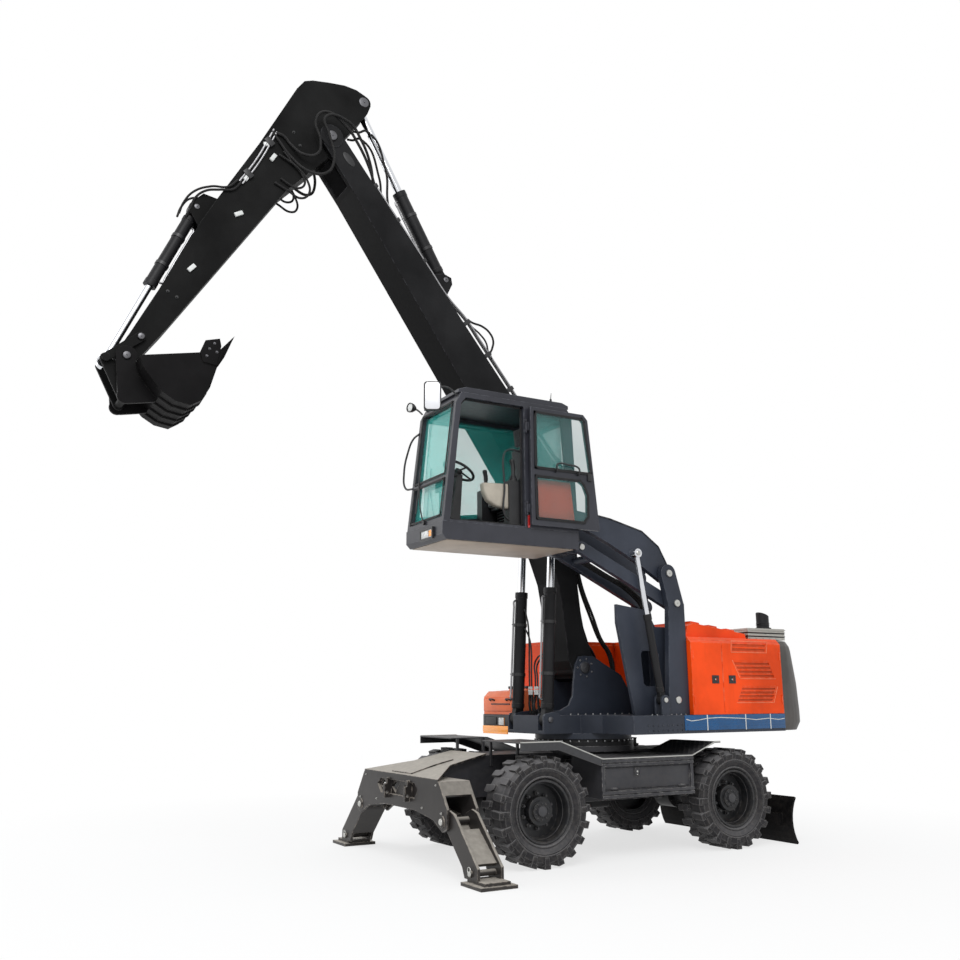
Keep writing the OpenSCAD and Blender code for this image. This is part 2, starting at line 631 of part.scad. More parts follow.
module hood_top() color(orange) world() {
    intersection() {
        hood_room();
        slab([[hood_x0, deck_hw], [hood_x1, deck_hw], [hood_x1, -300], [tank_x1, -300],
            [tank_x1, -deck_hw], [hood_x0, -deck_hw]], hood_top_z - skin, hood_top_z);
    }
    plate([[hood_x1 - 1130, hood_top_z - 1], [hood_x1 - 1110, hood_top_z + 70], [hood_x1 - 230,
        hood_top_z + 185],
        [hood_x1 - 130, hood_top_z + 150], [hood_x1 - 80, hood_top_z - 1]],
        deck_hw - 1088, deck_hw - 188);
    for (x = [hood_x1 - 900, hood_x1 - 600, hood_x1 - 300])
        plate([[x - 90, hood_top_z + 60], [x - 70, hood_top_z + 118 + (x - hood_x1 + 900) * 0.13],
            [x + 70, hood_top_z + 136 + (x - hood_x1 + 900) * 0.13], [x + 90, hood_top_z + 60]],
            deck_hw - 1038, deck_hw - 238);
    box([hood_x1 + 260, -1050, hood_top_z], [hood_x1 + 560, -750, hood_top_z + 50]);
}

module right_box() color(orange) world() {
    plate([[tank_x1, deck_top], [rbox_x1, deck_top], [rbox_x1, deck_top + 230], [rbox_x1 - 70,
        deck_top + 300], [tank_x1, deck_top + 330]],
        -deck_hw + 18, -470);
    for (y = [-1060, -660]) box([rbox_x1 - 330, y, deck_top + 300], [rbox_x1 - 290, y + 90,
        deck_top + 350]);
}

module upper_lamps() color(lamp_c) world() {
    box([rbox_x1, -deck_hw + 20, deck_z - 32], [rbox_x1 + 18, -620, deck_z + 56]);
    box([rbox_x1, -830, deck_z + 82], [rbox_x1 + 14, -700, deck_z + 178]);
}

module engine() color(dark) world() box([hood_x0 + 300, -750, deck_top], [hood_x1 - 300, 650,
    hood_top_z - 260]);

muffler_h = 150;
module muffler() color(steel) world() {
    y1 = deck_hw - 170;
    difference() {
        box([hood_x0 - 280, y1 - 420, hood_top_z], [hood_x0 + 390, y1, hood_top_z + muffler_h]);
        for (x = [-250, 60]) box([hood_x0 + x, y1 - 6, hood_top_z + 34], [hood_x0 + x + 280, y1 + 1,
            hood_top_z + muffler_h - 34]);
    }
    box([hood_x0 - 290, y1 - 430, hood_top_z + muffler_h - 24], [hood_x0 + 400, y1 + 10,
        hood_top_z + muffler_h - 12]);
}
module exhaust() color(black) world() {
    x = hood_x0 - 10;
    y = deck_hw - 290;
    z = hood_top_z + muffler_h;
    difference() {
        post(x, y, 84, z, z + 230);
        post(x, y, 72, z + 60, z + 231);
        plate([[x + 100, z + 231], [x - 100, z + 231], [x - 100, z + 150]], y - 100, y + 100);
    }
    post(x, y, 96, z, z + 20);
}

module tower() color(black) world() {
    for (y = [lift_y - 370, lift_y + 290]) {
        strap(tower_hi, tower_lo + [0, -40], 115, 125, y, y + 80);
        plate([[-770, deck_top], [-440, deck_top], tower_lo + [124, 0], tower_lo + [-124, 0]], y, y + 80);
    }
    box([-760, lift_y - 290, deck_top], [-700, lift_y + 290, 2700]);
    for (p = [tower_hi, tower_lo], m = [0, 1]) translate([0, lift_y, 0]) mirror([0, m, 0]) pin(p, 45,
        190, 385);
    difference() {
        union() {
            plate([[-440, deck_top], [-80, deck_top], [150, 2735], [150, 2960], [-330, 2900], [-440, 2700]],
                lift_y + 120, lift_y + 170);
            box([-700, lift_y + 120, deck_top], [-440, lift_y + 170, 2700]);
        }
        plate([[-480, 2000], [-440, 1965], [-270, 1965], [-230, 2000], [-200, 2360], [-230, 2400],
            [-440, 2400], [-480, 2360]], lift_y + 110, lift_y + 180);
    }
}

// boom and stick

module boom() color(black) world() {
    pts = boom_pts([[-160, 60], [-120, 160], [217, 235], [442, 272], [631, 334], [980, 480], [2218, 1022],
        [3692, 774], [6961, 222], [7400, 150], [7436 + 140, 60], [7436 + 140, -60], [7400, -150],
        [6733, -60], [4033, 190], [2629, 313], [1476, 273], [1120, 221], [866, 134], [602, 28], [416, -48],
        [180, -150], [-60, -170], [-160, -60]]);
    difference() {
        union() {
            difference() {
                box_beam(pts, boom_hw, box_t);
                plate(boom_pts([[6800, 600], [7800, 600], [7800, -600], [6800, -600]]), -stick_hw - 15,
                    stick_hw + 15);
            }
            plate(boom_pts([[6760, 255], [6800, 250], [6800, -50], [6760, -50]]), -boom_hw + 5,
                boom_hw - 5);
            pin(foot_pin, 170, -boom_hw, boom_hw);
            sides() pin(head_pin, 150, stick_hw + 15, boom_hw + 12);
        }
        pin(foot_pin, 80 + fit, -400, 400);
    }
    pin(head_pin, 70, -boom_hw - 24, boom_hw + 24);
    sides() pin(boom_pin_top, 120, boom_hw - 5, boom_hw + 36);
    sides() plate(boom_pts([[5020, 540], [5480, 455], [5370, 760], [5295, 830], [5210, 800]]), 76, 112);
    pin(stick_cyl_low, 40, -112, 112);
}
module boom_barrels() color(black) world() sides()
    barrel(boom_pin_low, boom_pin_top, 345, 78, 50, 1630, 92, 88, 40 + fit);
module boom_rods() color(steel) world() sides()
    rod(boom_pin_low, boom_pin_top, 345, 50, 1400, 95, 88);

module stick() color(black) world() {
    pts = stick_pts([[-890, 40], [-880, -40], [-830, -95], [-700, -130], [-150, -130],
        [150, -150], [1000, -40], [3400, -110], [3880, -105], [3962, -108],
        [3962 + 80, -60], [3962 + 80, 60], [3962, 108], [3700, 140], [3100, 230], [2100, 410], [1720,
            457], [778, 551],
        [-220, 690], [-384, 688], [-482, 624], [-636, 470], [-780, 310], [-860, 170]]);
    difference() {
        union() {
            box_beam(pts, stick_hw, box_t);
            pin(head_pin, 150, -stick_hw, stick_hw);
            pin(bucket_pin, 108, -stick_hw, stick_hw);
            pin(rocker_pin, 80, -stick_hw, stick_hw);
            plate(stick_pts([[-570, -120], [-520, -120], [-400, 600], [-450, 590]]), -stick_hw + 5,
                stick_hw - 5);
            pin(bell_pin, 95, -stick_hw, stick_hw);
        }
        pin(head_pin, 70 + fit, -400, 400);
        plate(stick_pts([[-1200, -400], [-575, -400], [-470, 580], [-1200, 700]]), -78, 78);
    }
    sides() plate(stick_pts([[1680, 440], [1760, 610], [1950, 640], [2040, 600], [2140, 380]]), 76, 106);
    pin(bucket_cyl_low, 36, -106, 106);
    pin(bucket_pin, 45, -272, 272);
    pin(rocker_pin, 40, -222, 222);
}
module stick_barrel() color(black) world() barrel(stick_cyl_low, bell_pin, 0, 84, 52, 1300, 96, 136,
    40 + fit);
module stick_rod() color(steel) world() rod(stick_cyl_low, bell_pin, 0, 52, 1045, 90, 140);
module bucket_barrel() color(black) world() barrel(bucket_cyl_low, link_pin, 0, 70, 42, 1130, 84, 136,
    36 + fit);
module bucket_rod() color(steel) world() rod(bucket_cyl_low, link_pin, 0, 42, 900, rod_eye, 100);

module rocker() color(dark) world() sides() {
    difference() {
        strap(rocker_pin, link_pin, 54, 46, stick_hw + 10, stick_hw + 35);
        pin(rocker_pin, 40 + fit, 100, 300);
    }
    pin(link_pin, 40, 128, stick_hw + 40);
}
module link() color(dark) world() {
    difference() {
        sides() strap(link_pin, ear_pin, 58, 58, 128, 163);
        pin(link_pin, 40 + fit, -300, 300);
    }
    pin(ear_pin, 42, -212, 212);
}

// bucket outline, measured from its pin in the rest pose
bucket_out = [[-95, -70], [-130, -190], [-240, -330], [-340, -435], [-480, -515], [-640, -540],
    [-755, -465], [-830, -320], [-905, -40], [-960, 120]];
bucket_in = [[-930, 125], [-876, -48], [-803, -310], [-733, -442], [-628, -512], [-490, -488],
    [-360, -412], [-262, -312], [-160, -180], [-125, -78]];
tooth_side = [[-915, -50], [-975, 60], [-1076, 325], [-925, 140], [-885, 0]];
cutter_side = [[-700, 60], [-752, 205], [-905, 250], [-925, 165], [-885, -60], [-740, -40]];
module bucket() color(dark) world() {
    o = [for (p = bucket_out) bucket_pin + p];
    i = [for (p = bucket_in) bucket_pin + p];
    plate(concat(o, i), -bucket_w / 2, bucket_w / 2);
    sides() plate(o, bucket_w / 2 - bucket_t, bucket_w / 2);
    sides() plate([for (p = cutter_side) bucket_pin + p], bucket_w / 2 - 1, bucket_w / 2 + 18);
    sides() difference() {
        union() {
            plate([bucket_pin + [-110, -90], bucket_pin + [-150, -200], bucket_pin + [-250, -325],
                bucket_pin + [-345, -430], bucket_pin + [-330, -470], ear_pin + [-40, -80],
                ear_pin + [30, -75], ear_pin + [80, 20], bucket_pin + [105, -60], bucket_pin + [60, 95],
                bucket_pin + [-60, 95]], 220, 260);
            pin(bucket_pin, 112, 220, 260);
            pin(ear_pin, 85, 220, 260);
        }
        pin(bucket_pin, 45 + fit, 200, 300);
    }
    for (k = [0:tooth_n - 1]) {
        y = (bucket_w - 150) * (k / (tooth_n - 1) - 0.5);
        plate([for (p = tooth_side) bucket_pin + p], y - 45, y + 45);
    }
}

// cab lift

module lift_pair() for (y = [lift_y - 280, lift_y + 200]) translate([0, y, 0]) children();
module lift_arm() color(black) world() {
    difference() {
        union() {
            lift_pair() {
                plate([tower_hi + [-90, 60], tower_hi + [70, 340], tower_hi + [330, 520],
                    tower_hi + [830, 640],
                    cab_hi + [0, 80], cab_hi + [0, -80], tower_hi + [830, 330], tower_hi + [430, 130],
                        tower_hi + [60, -85]], 0, 80);
                pin(tower_hi, 105, 0, 80);
                pin(cab_hi, 82, 0, 80);
            }
            bar_y(tower_hi + [1130, 560], 50);
        }
        pin(tower_hi, 45 + fit, 0, 1400);
        pin(cab_hi, 40 + fit, 0, 1400);
    }
    pin(lift_cyl_top, 60, lift_y + 280, lift_y + 296);
}
module bar_y(p, r) pin(p, r, lift_y - 240, lift_y + 240);
module lift_link() color(black) world() difference() {
    union() {
        lift_pair() strap(tower_lo, cab_lo, 80, 72, 0, 80);
        bar_y(tower_lo + lift_v * 0.83, 50);
    }
    pin(tower_lo, 45 + fit, 0, 1400);
    pin(cab_lo, 40 + fit, 0, 1400);
}
module lift_barrel() color(black) world() barrel(lift_cyl_low, lift_cyl_top, lift_cyl_y, 46, 30, 1050, 56, 76,
    28 + fit);
module lift_rod() color(steel) world() rod(lift_cyl_low, lift_cyl_top, lift_cyl_y, 30, 850, 56, 76);

// cab: side outline runs round from the low back corner

function cab_outline(i) = [[cab_x0 + i, cab_sill + i * 0], [cab_x0 + 60 + i, cab_top - 170],
    [cab_x0 + 130 + i, cab_top - 70 - i],
    [cab_x1 - 230 - i, cab_top - 70 - i], [cab_x1 - 160 - i, cab_top - 200], [cab_x1 - i, cab_sill]];
win_t = 8;
module cab_floor() color(black) world() {
    difference() {
        plate([[cab_x0, cab_z], [cab_x1 - 40, cab_z], [cab_x1 + 10, cab_z + 50], [cab_x1 + 10, cab_sill],
            [cab_x0, cab_sill]], cab_y0, cab_y1);
        box([cab_x0 + 40, cab_y0 + 40, cab_z + 30], [cab_x1 - 60, cab_y1 - 40, cab_sill - 30]);
    }
    for (m = [0, 1]) translate([0, lift_y, 0]) mirror([0, m, 0]) {
        plate([cab_lo + [-75, -40], cab_lo + [0, -75], [cab_x0 + 1, cab_z + 5], [cab_x0 + 1, cab_sill],
            [cab_x0, cab_sill],
            [cab_x0 + 60 * (cab_hi[1] + 75 - cab_sill) / (cab_h - 370), cab_hi[1] + 75],
            cab_hi + [-20, 75], cab_hi + [-75, 20]], 110, 192);
        pin(cab_lo, 72, 110, 192);
        pin(cab_hi, 75, 110, 192);
        pin(cab_lo, 40, 110, 286);
        pin(cab_hi, 40, 110, 286);
    }
}
module cab_shell() color(black) world() {
    cab_walls();
    for (z = hinge_zs) {
        post(hinge_x, hinge_y, 7, z - 30, z + 130);
        for (h = [z - 30, z + 105]) {
            box([hinge_x - 14, cab_y1 - 5, h], [hinge_x + 14, hinge_y, h + 25]);
            post(hinge_x, hinge_y, 14, h, h + 25);
        }
    }
}
module cab_walls() difference() {
    plate(cab_outline(0), cab_y0, cab_y1);
    plate(cab_outline(cab_t), cab_y0 + cab_t, cab_y1 - cab_t);
    for (z = [[cab_sill + 60, cab_sill + 505], [cab_sill + 540, cab_top - 170]])
        box([cab_x1 - 420, cab_y0 + 70, z[0]], [cab_x1 + 50, cab_y1 - 70, z[1]]);
    box([cab_x0 - 50, cab_y0 + 110, cab_sill + 520], [cab_x0 + 200, cab_y1 - 110, cab_top - 230]);
    plate([[hinge_x + 20, cab_sill + 20], [cab_x1 - 85, cab_sill + 20], [cab_x1 - 225, cab_top - 200],
        [cab_x1 - 290, cab_top - 130],
        [hinge_x + 20, cab_top - 130]], cab_y1 - 100, cab_y1 + 50);
    plate([[cab_x0 + 130, cab_sill + 480], [hinge_x - 90, cab_sill + 480], [hinge_x - 90, cab_top - 190],
        [cab_x0 + 200, cab_top - 190]],
        cab_y1 - 100, cab_y1 + 50);
    plate([[cab_x0 + 130, cab_sill + 360], [cab_x1 - 130, cab_sill + 160], [cab_x1 - 250, cab_top - 190],
        [cab_x0 + 200, cab_top - 190]],
        cab_y0 - 50, cab_y0 + 100);
}
module cab_roof() color(black) world() {
    plate([[cab_x0 + 90, cab_top - 70], [cab_x1 - 200, cab_top - 70], [cab_x1 - 200, cab_top - 35],
        [cab_x1 - 300, cab_top],
        [cab_x0 + 180, cab_top], [cab_x0 + 90, cab_top - 30]], cab_y0 + 20, cab_y1 - 20);
}
module cab_glass() color(glass) world() {
    difference() {
        intersection() {
            plate(cab_outline(cab_t), cab_y0 + cab_t, cab_y1 - cab_t);
            union() {
                box([cab_x1 - 420, cab_y0 + cab_t, cab_sill + 50], [cab_x1 + 50, cab_y1 - cab_t,
                    cab_top - 150]);
                box([cab_x0 - 50, cab_y0 + cab_t + 40, cab_sill + 490],
                    [cab_x0 + 160, cab_y1 - cab_t - 40, cab_top - 200]);
            }
        }
        plate(cab_outline(cab_t + win_t), cab_y0, cab_y1);
    }
    plate([[cab_x0 + 170, cab_sill + 330], [cab_x1 - 170, cab_sill + 130], [cab_x1 - 260, cab_top - 170],
        [cab_x0 + 190, cab_top - 170]], cab_y0 + cab_t, cab_y0 + cab_t + win_t);
    plate([[cab_x0 + 170, cab_sill + 450], [hinge_x - 70, cab_sill + 450], [hinge_x - 70, cab_top - 170],
        [cab_x0 + 190, cab_top - 170]], cab_y1 - cab_t - win_t, cab_y1 - cab_t);
}
module cab_lamps() color(lamp_c) world() {
    for (y = [[490, 315], [300, 220]])
        box([cab_x1 + 10, cab_y1 - y[0], cab_z + 45], [cab_x1 + 30, cab_y1 - y[1], cab_z + 140]);
}
module seat() color(black) world() {
    x = cab_x0 + 520;
    y = (cab_y0 + cab_y1) / 2;
    box([x - 150, y - 190, cab_sill], [x + 250, y + 190, cab_sill + 300]);
    box([x - 200, y - 250, cab_sill + 300], [x + 320, y + 250, cab_sill + 430]);
    plate([[x - 200, cab_sill + 430], [x - 60, cab_sill + 430], [x - 170, cab_sill + 1130], [x - 270,
        cab_sill + 1130]], y - 230, y + 230);
}
module controls() color(dark) world() {
    x = cab_x0 + 520;
    y = (cab_y0 + cab_y1) / 2;
    for (s = [-1, 1]) {
        box([x - 20, y + s * 320 - 60, cab_sill], [x + 380, y + s * 320 + 60, cab_sill + 560]);
        post(x + 290, y + s * 320, 22, cab_sill + 560, cab_sill + 720);
    }
    plate([[cab_x1 - 420, cab_sill], [cab_x1 - 280, cab_sill], [cab_x1 - 400, cab_sill + 640],
        [cab_x1 - 460, cab_sill + 640]], y - 60, y + 60);
}
module door() color(black) world() translate([hinge_x, 0, 0]) mirror([1, 0, 0]) translate([-hinge_x, 0,
    0]) {
    y0 = 2 * hinge_y - cab_y1;
    difference() {
        union() {
            plate([[hinge_x + 28, cab_sill + 30], [cab_x1 - 95, cab_sill + 30], [cab_x1 - 233,
                cab_top - 205], [cab_x1 - 294, cab_top - 140],
                [hinge_x + 28, cab_top - 140]], y0, y0 + door_t);
            for (z = hinge_zs) {
                post(hinge_x, hinge_y, 13, z, z + 100);
                box([hinge_x, hinge_y + 1, z], [hinge_x + 70, hinge_y + 13, z + 100]);
                box([hinge_x + 34, hinge_y + 1, z], [hinge_x + 70, y0 + 5, z + 100]);
            }
        }
        for (z = hinge_zs) post(hinge_x, hinge_y, 7 + fit, z - 1, z + 101);
        plate([[hinge_x + 100, cab_sill + 720], [cab_x1 - 215, cab_sill + 720], [cab_x1 - 300,
            cab_top - 240], [cab_x1 - 330, cab_top - 210],
            [hinge_x + 100, cab_top - 210]], y0 - 1, y0 + door_t + 1);
        plate([[hinge_x + 120, cab_sill + 120], [cab_x1 - 330, cab_sill + 120],
            [cab_x1 - 275, cab_sill + 190], [cab_x1 - 270, cab_sill + 440], [cab_x1 - 320, cab_sill + 560],
            [cab_x1 - 380, cab_sill + 600], [hinge_x + 100, cab_sill + 600]], y0 - 1, y0 + door_t + 1);
    }
}
module door_glass() color(glass) world() translate([hinge_x, 0, 0]) mirror([1, 0,
    0]) translate([-hinge_x, 0, 0]) {
    y0 = 2 * hinge_y - cab_y1 + door_t;
    plate([[hinge_x + 80, cab_sill + 700], [cab_x1 - 195, cab_sill + 700], [cab_x1 - 282, cab_top - 228],
        [cab_x1 - 318, cab_top - 190],
        [hinge_x + 80, cab_top - 190]], y0, y0 + win_t);
    plate([[hinge_x + 90, cab_sill + 100], [cab_x1 - 320, cab_sill + 100], [cab_x1 - 255, cab_sill + 183],
        [cab_x1 - 250, cab_sill + 446], [cab_x1 - 305, cab_sill + 576], [cab_x1 - 370, cab_sill + 620],
        [hinge_x + 80, cab_sill + 620]], y0, y0 + win_t);
}

frame();
front_axle();
rear_axle();
side_boxes();
fender_decks();
slew_ring();
outrigger_beam();
leg_l();
leg_r();
blade();
blade_barrels();
blade_rods();
knuckle_l();
knuckle_r();
rim_fl();
rim_fr();
rim_rl();
rim_rr();
tyre_fl();
tyre_fr();
tyre_rl();
tyre_rr();
upper_frame();
counterweight();
hood_left();
hood_right();
hood_top();
right_box();
upper_lamps();
engine();
muffler();
exhaust();
tower();
boom();
boom_barrels();
boom_rods();
stick();
stick_barrel();
stick_rod();
bucket();
bucket_barrel();
bucket_rod();
rocker();
link();
lift_arm();
lift_link();
lift_barrel();
lift_rod();
cab_floor();
cab_shell();
cab_roof();
cab_glass();
cab_lamps();
seat();
controls();
door();
door_glass();
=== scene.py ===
"""Looks of a wheeled material handler: finishes, trim, hoses, seat, studio and camera.

Lengths are metres. Most places are written about the slew axis and moved to the row's frame by Site.
"""

from __future__ import annotations

import json
import logging
import math
from dataclasses import dataclass, field
from enum import Enum
from typing import Any, Iterable, Sequence

import bmesh
import bpy
from mathutils import Matrix, Vector

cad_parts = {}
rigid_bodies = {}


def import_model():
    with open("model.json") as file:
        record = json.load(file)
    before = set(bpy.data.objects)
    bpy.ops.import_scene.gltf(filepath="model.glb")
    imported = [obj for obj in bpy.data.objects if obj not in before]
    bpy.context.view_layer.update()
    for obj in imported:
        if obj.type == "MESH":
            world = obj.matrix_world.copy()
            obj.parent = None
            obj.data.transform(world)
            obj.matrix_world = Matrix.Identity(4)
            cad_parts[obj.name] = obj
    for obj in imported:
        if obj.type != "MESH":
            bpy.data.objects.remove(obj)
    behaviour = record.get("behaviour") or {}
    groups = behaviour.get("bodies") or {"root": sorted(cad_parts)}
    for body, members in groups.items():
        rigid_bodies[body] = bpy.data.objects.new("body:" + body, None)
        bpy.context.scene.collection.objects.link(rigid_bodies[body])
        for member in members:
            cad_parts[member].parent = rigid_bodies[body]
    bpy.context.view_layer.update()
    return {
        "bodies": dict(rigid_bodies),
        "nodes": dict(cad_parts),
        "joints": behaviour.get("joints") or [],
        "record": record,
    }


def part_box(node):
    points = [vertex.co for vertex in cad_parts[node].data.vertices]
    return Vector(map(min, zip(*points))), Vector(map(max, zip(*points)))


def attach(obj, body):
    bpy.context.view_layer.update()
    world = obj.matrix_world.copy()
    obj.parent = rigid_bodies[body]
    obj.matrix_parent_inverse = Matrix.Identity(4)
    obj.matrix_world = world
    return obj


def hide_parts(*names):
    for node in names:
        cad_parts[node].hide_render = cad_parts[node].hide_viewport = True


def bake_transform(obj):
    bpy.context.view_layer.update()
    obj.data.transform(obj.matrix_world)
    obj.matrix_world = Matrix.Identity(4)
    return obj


LOG = logging.getLogger("handler")
RGB = tuple[float, float, float]
Point = Sequence[float]
Pair = tuple[float, float]
# The machine's front is +X and its left +Y.
AHEAD, LEFT, UP = (1, 0, 0), (0, 1, 0), (0, 0, 1)
SIDES = (1, -1)
HANDS = ((1, "left"), (-1, "right"))


def rgb(red: int, green: int, blue: int) -> RGB:
    """Linear colour of an eight bit display colour."""
    return tuple(((c / 255 + 0.055) / 1.055) ** 2.4 if c > 10 else c / 255 / 12.92
                 for c in (red, green, blue))


def scaled(colour: RGB, by: float) -> RGB:
    """A colour made lighter or darker."""
    return tuple(c * by for c in colour)


def circle(count: int, radius: float, start: float = 0.0) -> list[Pair]:
    """Points spread evenly round a circle; start is a share of one step."""
    turns = [math.tau * (k + start) / count for k in range(count)]
    return [(radius * math.cos(t), radius * math.sin(t)) for t in turns]


class Slot(Enum):
    """Material slots of the record."""

    GREY = "grey"
    BLACK = "black"
    STEEL = "steel"
    RIM = "rim"
    TYRE = "tyre"
    ORANGE = "orange"
    AMBER = "amber"
    LAMP = "lamp"
    SEAT = "seat"
    TRIM = "trim"


class Sock:
    """An output socket whose arithmetic adds Math nodes."""

    def __init__(self, tree: "Graph", socket: bpy.types.NodeSocket) -> None:
        """Keeps the socket and the tree it is in."""
        self.tree = tree
        self.socket = socket

    def math(self, operation: str, *values: Any) -> "Sock":
        """Adds one Math node.

        Args:
            operation: the node's operation.
            values: numbers or sockets, in the order of the inputs.
        Returns:
            The node's value.
        """
        node = self.tree.add("ShaderNodeMath", {"operation": operation}, dict(enumerate(values)))
        return Sock(self.tree, node.outputs[0])

    def __add__(self, other: Any) -> "Sock":
        """Sum."""
        return self.math("ADD", self, other)

    def __radd__(self, other: Any) -> "Sock":
        """Sum, from the right."""
        return self.math("ADD", other, self)

    def __sub__(self, other: Any) -> "Sock":
        """Difference."""
        return self.math("SUBTRACT", self, other)

    def __rsub__(self, other: Any) -> "Sock":
        """Difference, from the right."""
        return self.math("SUBTRACT", other, self)

    def __mul__(self, other: Any) -> "Sock":
        """Product."""
        return self.math("MULTIPLY", self, other)

    def __rmul__(self, other: Any) -> "Sock":
        """Product, from the right."""
        return self.math("MULTIPLY", other, self)

    def ramp(self, low: float, high: float) -> "Sock":
        """Zero at low, one at high, held between them."""
        node = self.tree.add("ShaderNodeMapRange", {"clamp": True},
                             {"Value": self, "From Min": low, "From Max": high})
        return Sock(self.tree, node.outputs[0])


class Graph:
    """A node tree that grows by one method."""

    def __init__(self, tree: bpy.types.NodeTree) -> None:
        """Takes a tree over and empties it."""
        self.tree = tree
        self.tree.nodes.clear()

    def add(self, kind: str, settings: dict | None = None, inputs: dict | None = None) -> bpy.types.Node:
        """Adds any node.

        Args:
            kind: the node's type.
            settings: attributes, set first.
            inputs: socket name or index to a value or a Sock.
        Returns:
            The node.
        """
        node = self.tree.nodes.new(kind)
        for key, value in (settings or {}).items():
            setattr(node, key, value)
        for key, value in (inputs or {}).items():
            self.feed(node, key, value)
        return node

    def feed(self, node: bpy.types.Node, key: str | int, value: Any) -> None:
        """Links a Sock to an input, or sets the input's own value.

        Args:
            node: the node.
            key: name or index of its input.
            value: a Sock, or what the input holds.
        """
        if isinstance(value, Sock):
            self.tree.links.new(value.socket, node.inputs[key])
        else:
            node.inputs[key].default_value = value

    def out(self, kind: str, settings: dict | None, inputs: dict | None, output: int | str = 0) -> Sock:
        """Adds a node and gives one of its outputs."""
        return Sock(self, self.add(kind, settings, inputs).outputs[output])


class Tree(Graph):
    """The node tree of one material, with a Principled shader at its end."""

    def __init__(self, name: str) -> None:
        """Starts a material.

        Args:
            name: the material's name.
        """
        self.material = bpy.data.materials.new(name)
        self.material.use_nodes = True
        super().__init__(self.material.node_tree)
        self.shader = self.add("ShaderNodeBsdfPrincipled")
        self.add("ShaderNodeOutputMaterial", None, {"Surface": Sock(self, self.shader.outputs[0])})

    def place(self, scale: Point = (1, 1, 1), turn: Point = (0, 0, 0)) -> Sock:
        """Object coordinates, scaled and turned."""
        at = self.out("ShaderNodeTexCoord", None, None, "Object")
        return self.out("ShaderNodeMapping", None, {"Vector": at, "Scale": scale, "Rotation": turn})

    def noise(self, scale: float, detail: float = 4.0, stretch: Point = (1, 1, 1),
              rough: float = 0.55) -> Sock:
        """Noise over the piece.

        Args:
            scale: waves in a metre.
            detail: octaves.
            stretch: scale along each axis.
            rough: share kept by each octave.
        Returns:
            A value near a half.
        """
        return self.out("ShaderNodeTexNoise", None,
                        {"Vector": self.place(stretch), "Scale": scale, "Detail": detail, "Roughness": rough})

    def blend(self, share: Any, first: Any, second: Any) -> Sock:
        """Mixes two colours by a share."""
        four = [(*c, 1.0) if isinstance(c, tuple) and len(c) == 3 else c for c in (first, second)]
        return self.out("ShaderNodeMix", {"data_type": "RGBA"}, {0: share, 6: four[0], 7: four[1]}, 2)

    def edge(self, radius: float) -> tuple[Sock, Sock]:
        """Rounded edges without geometry.

        Args:
            radius: how far the rounding reaches.
        Returns:
            The rounded normal, and how far it leans from the face's own, which is high along edges.
        """
        soft = self.out("ShaderNodeBevel", {"samples": 4}, {"Radius": radius})
        face = self.out("ShaderNodeNewGeometry", None, None, "Normal")
        flat = self.out("ShaderNodeVectorMath", {"operation": "DOT_PRODUCT"}, {0: soft, 1: face}, "Value")
        return soft, 1 - flat

    def upward(self) -> Sock:
        """How far a face looks up, from -1 to 1."""
        normal = self.out("ShaderNodeTexCoord", None, None, "Normal")
        return self.out("ShaderNodeSeparateXYZ", None, {0: normal}, 2)

    def height(self) -> Sock:
        """Height above the ground."""
        at = self.out("ShaderNodeTexCoord", None, None, "Object")
        return self.out("ShaderNodeSeparateXYZ", None, {0: at}, 2)

    def bump(self, depth: Sock, distance: float, strength: float = 1.0, normal: Sock | None = None) -> None:
        """Feeds a bump into the shader's normal.

        Args:
            depth: the height.
            distance: how tall a height of one is.
            strength: how much of it shows.
            normal: the normal that it disturbs, if not the face's own.
        """
        inputs: dict = {"Height": depth, "Distance": distance, "Strength": strength}
        if normal is not None:
            inputs["Normal"] = normal
        self.feed(self.shader, "Normal", self.out("ShaderNodeBump", None, inputs))

    def set(self, **values: Any) -> None:
        """Sets or links the shader's sockets.

        Args:
            values: socket name, with an underscore for each space, to a value, colour or Sock.
        """
        for key, value in values.items():
            if isinstance(value, tuple) and len(value) == 3:
                value = (*value, 1.0)
            self.feed(self.shader, key.replace("_", " "), value)


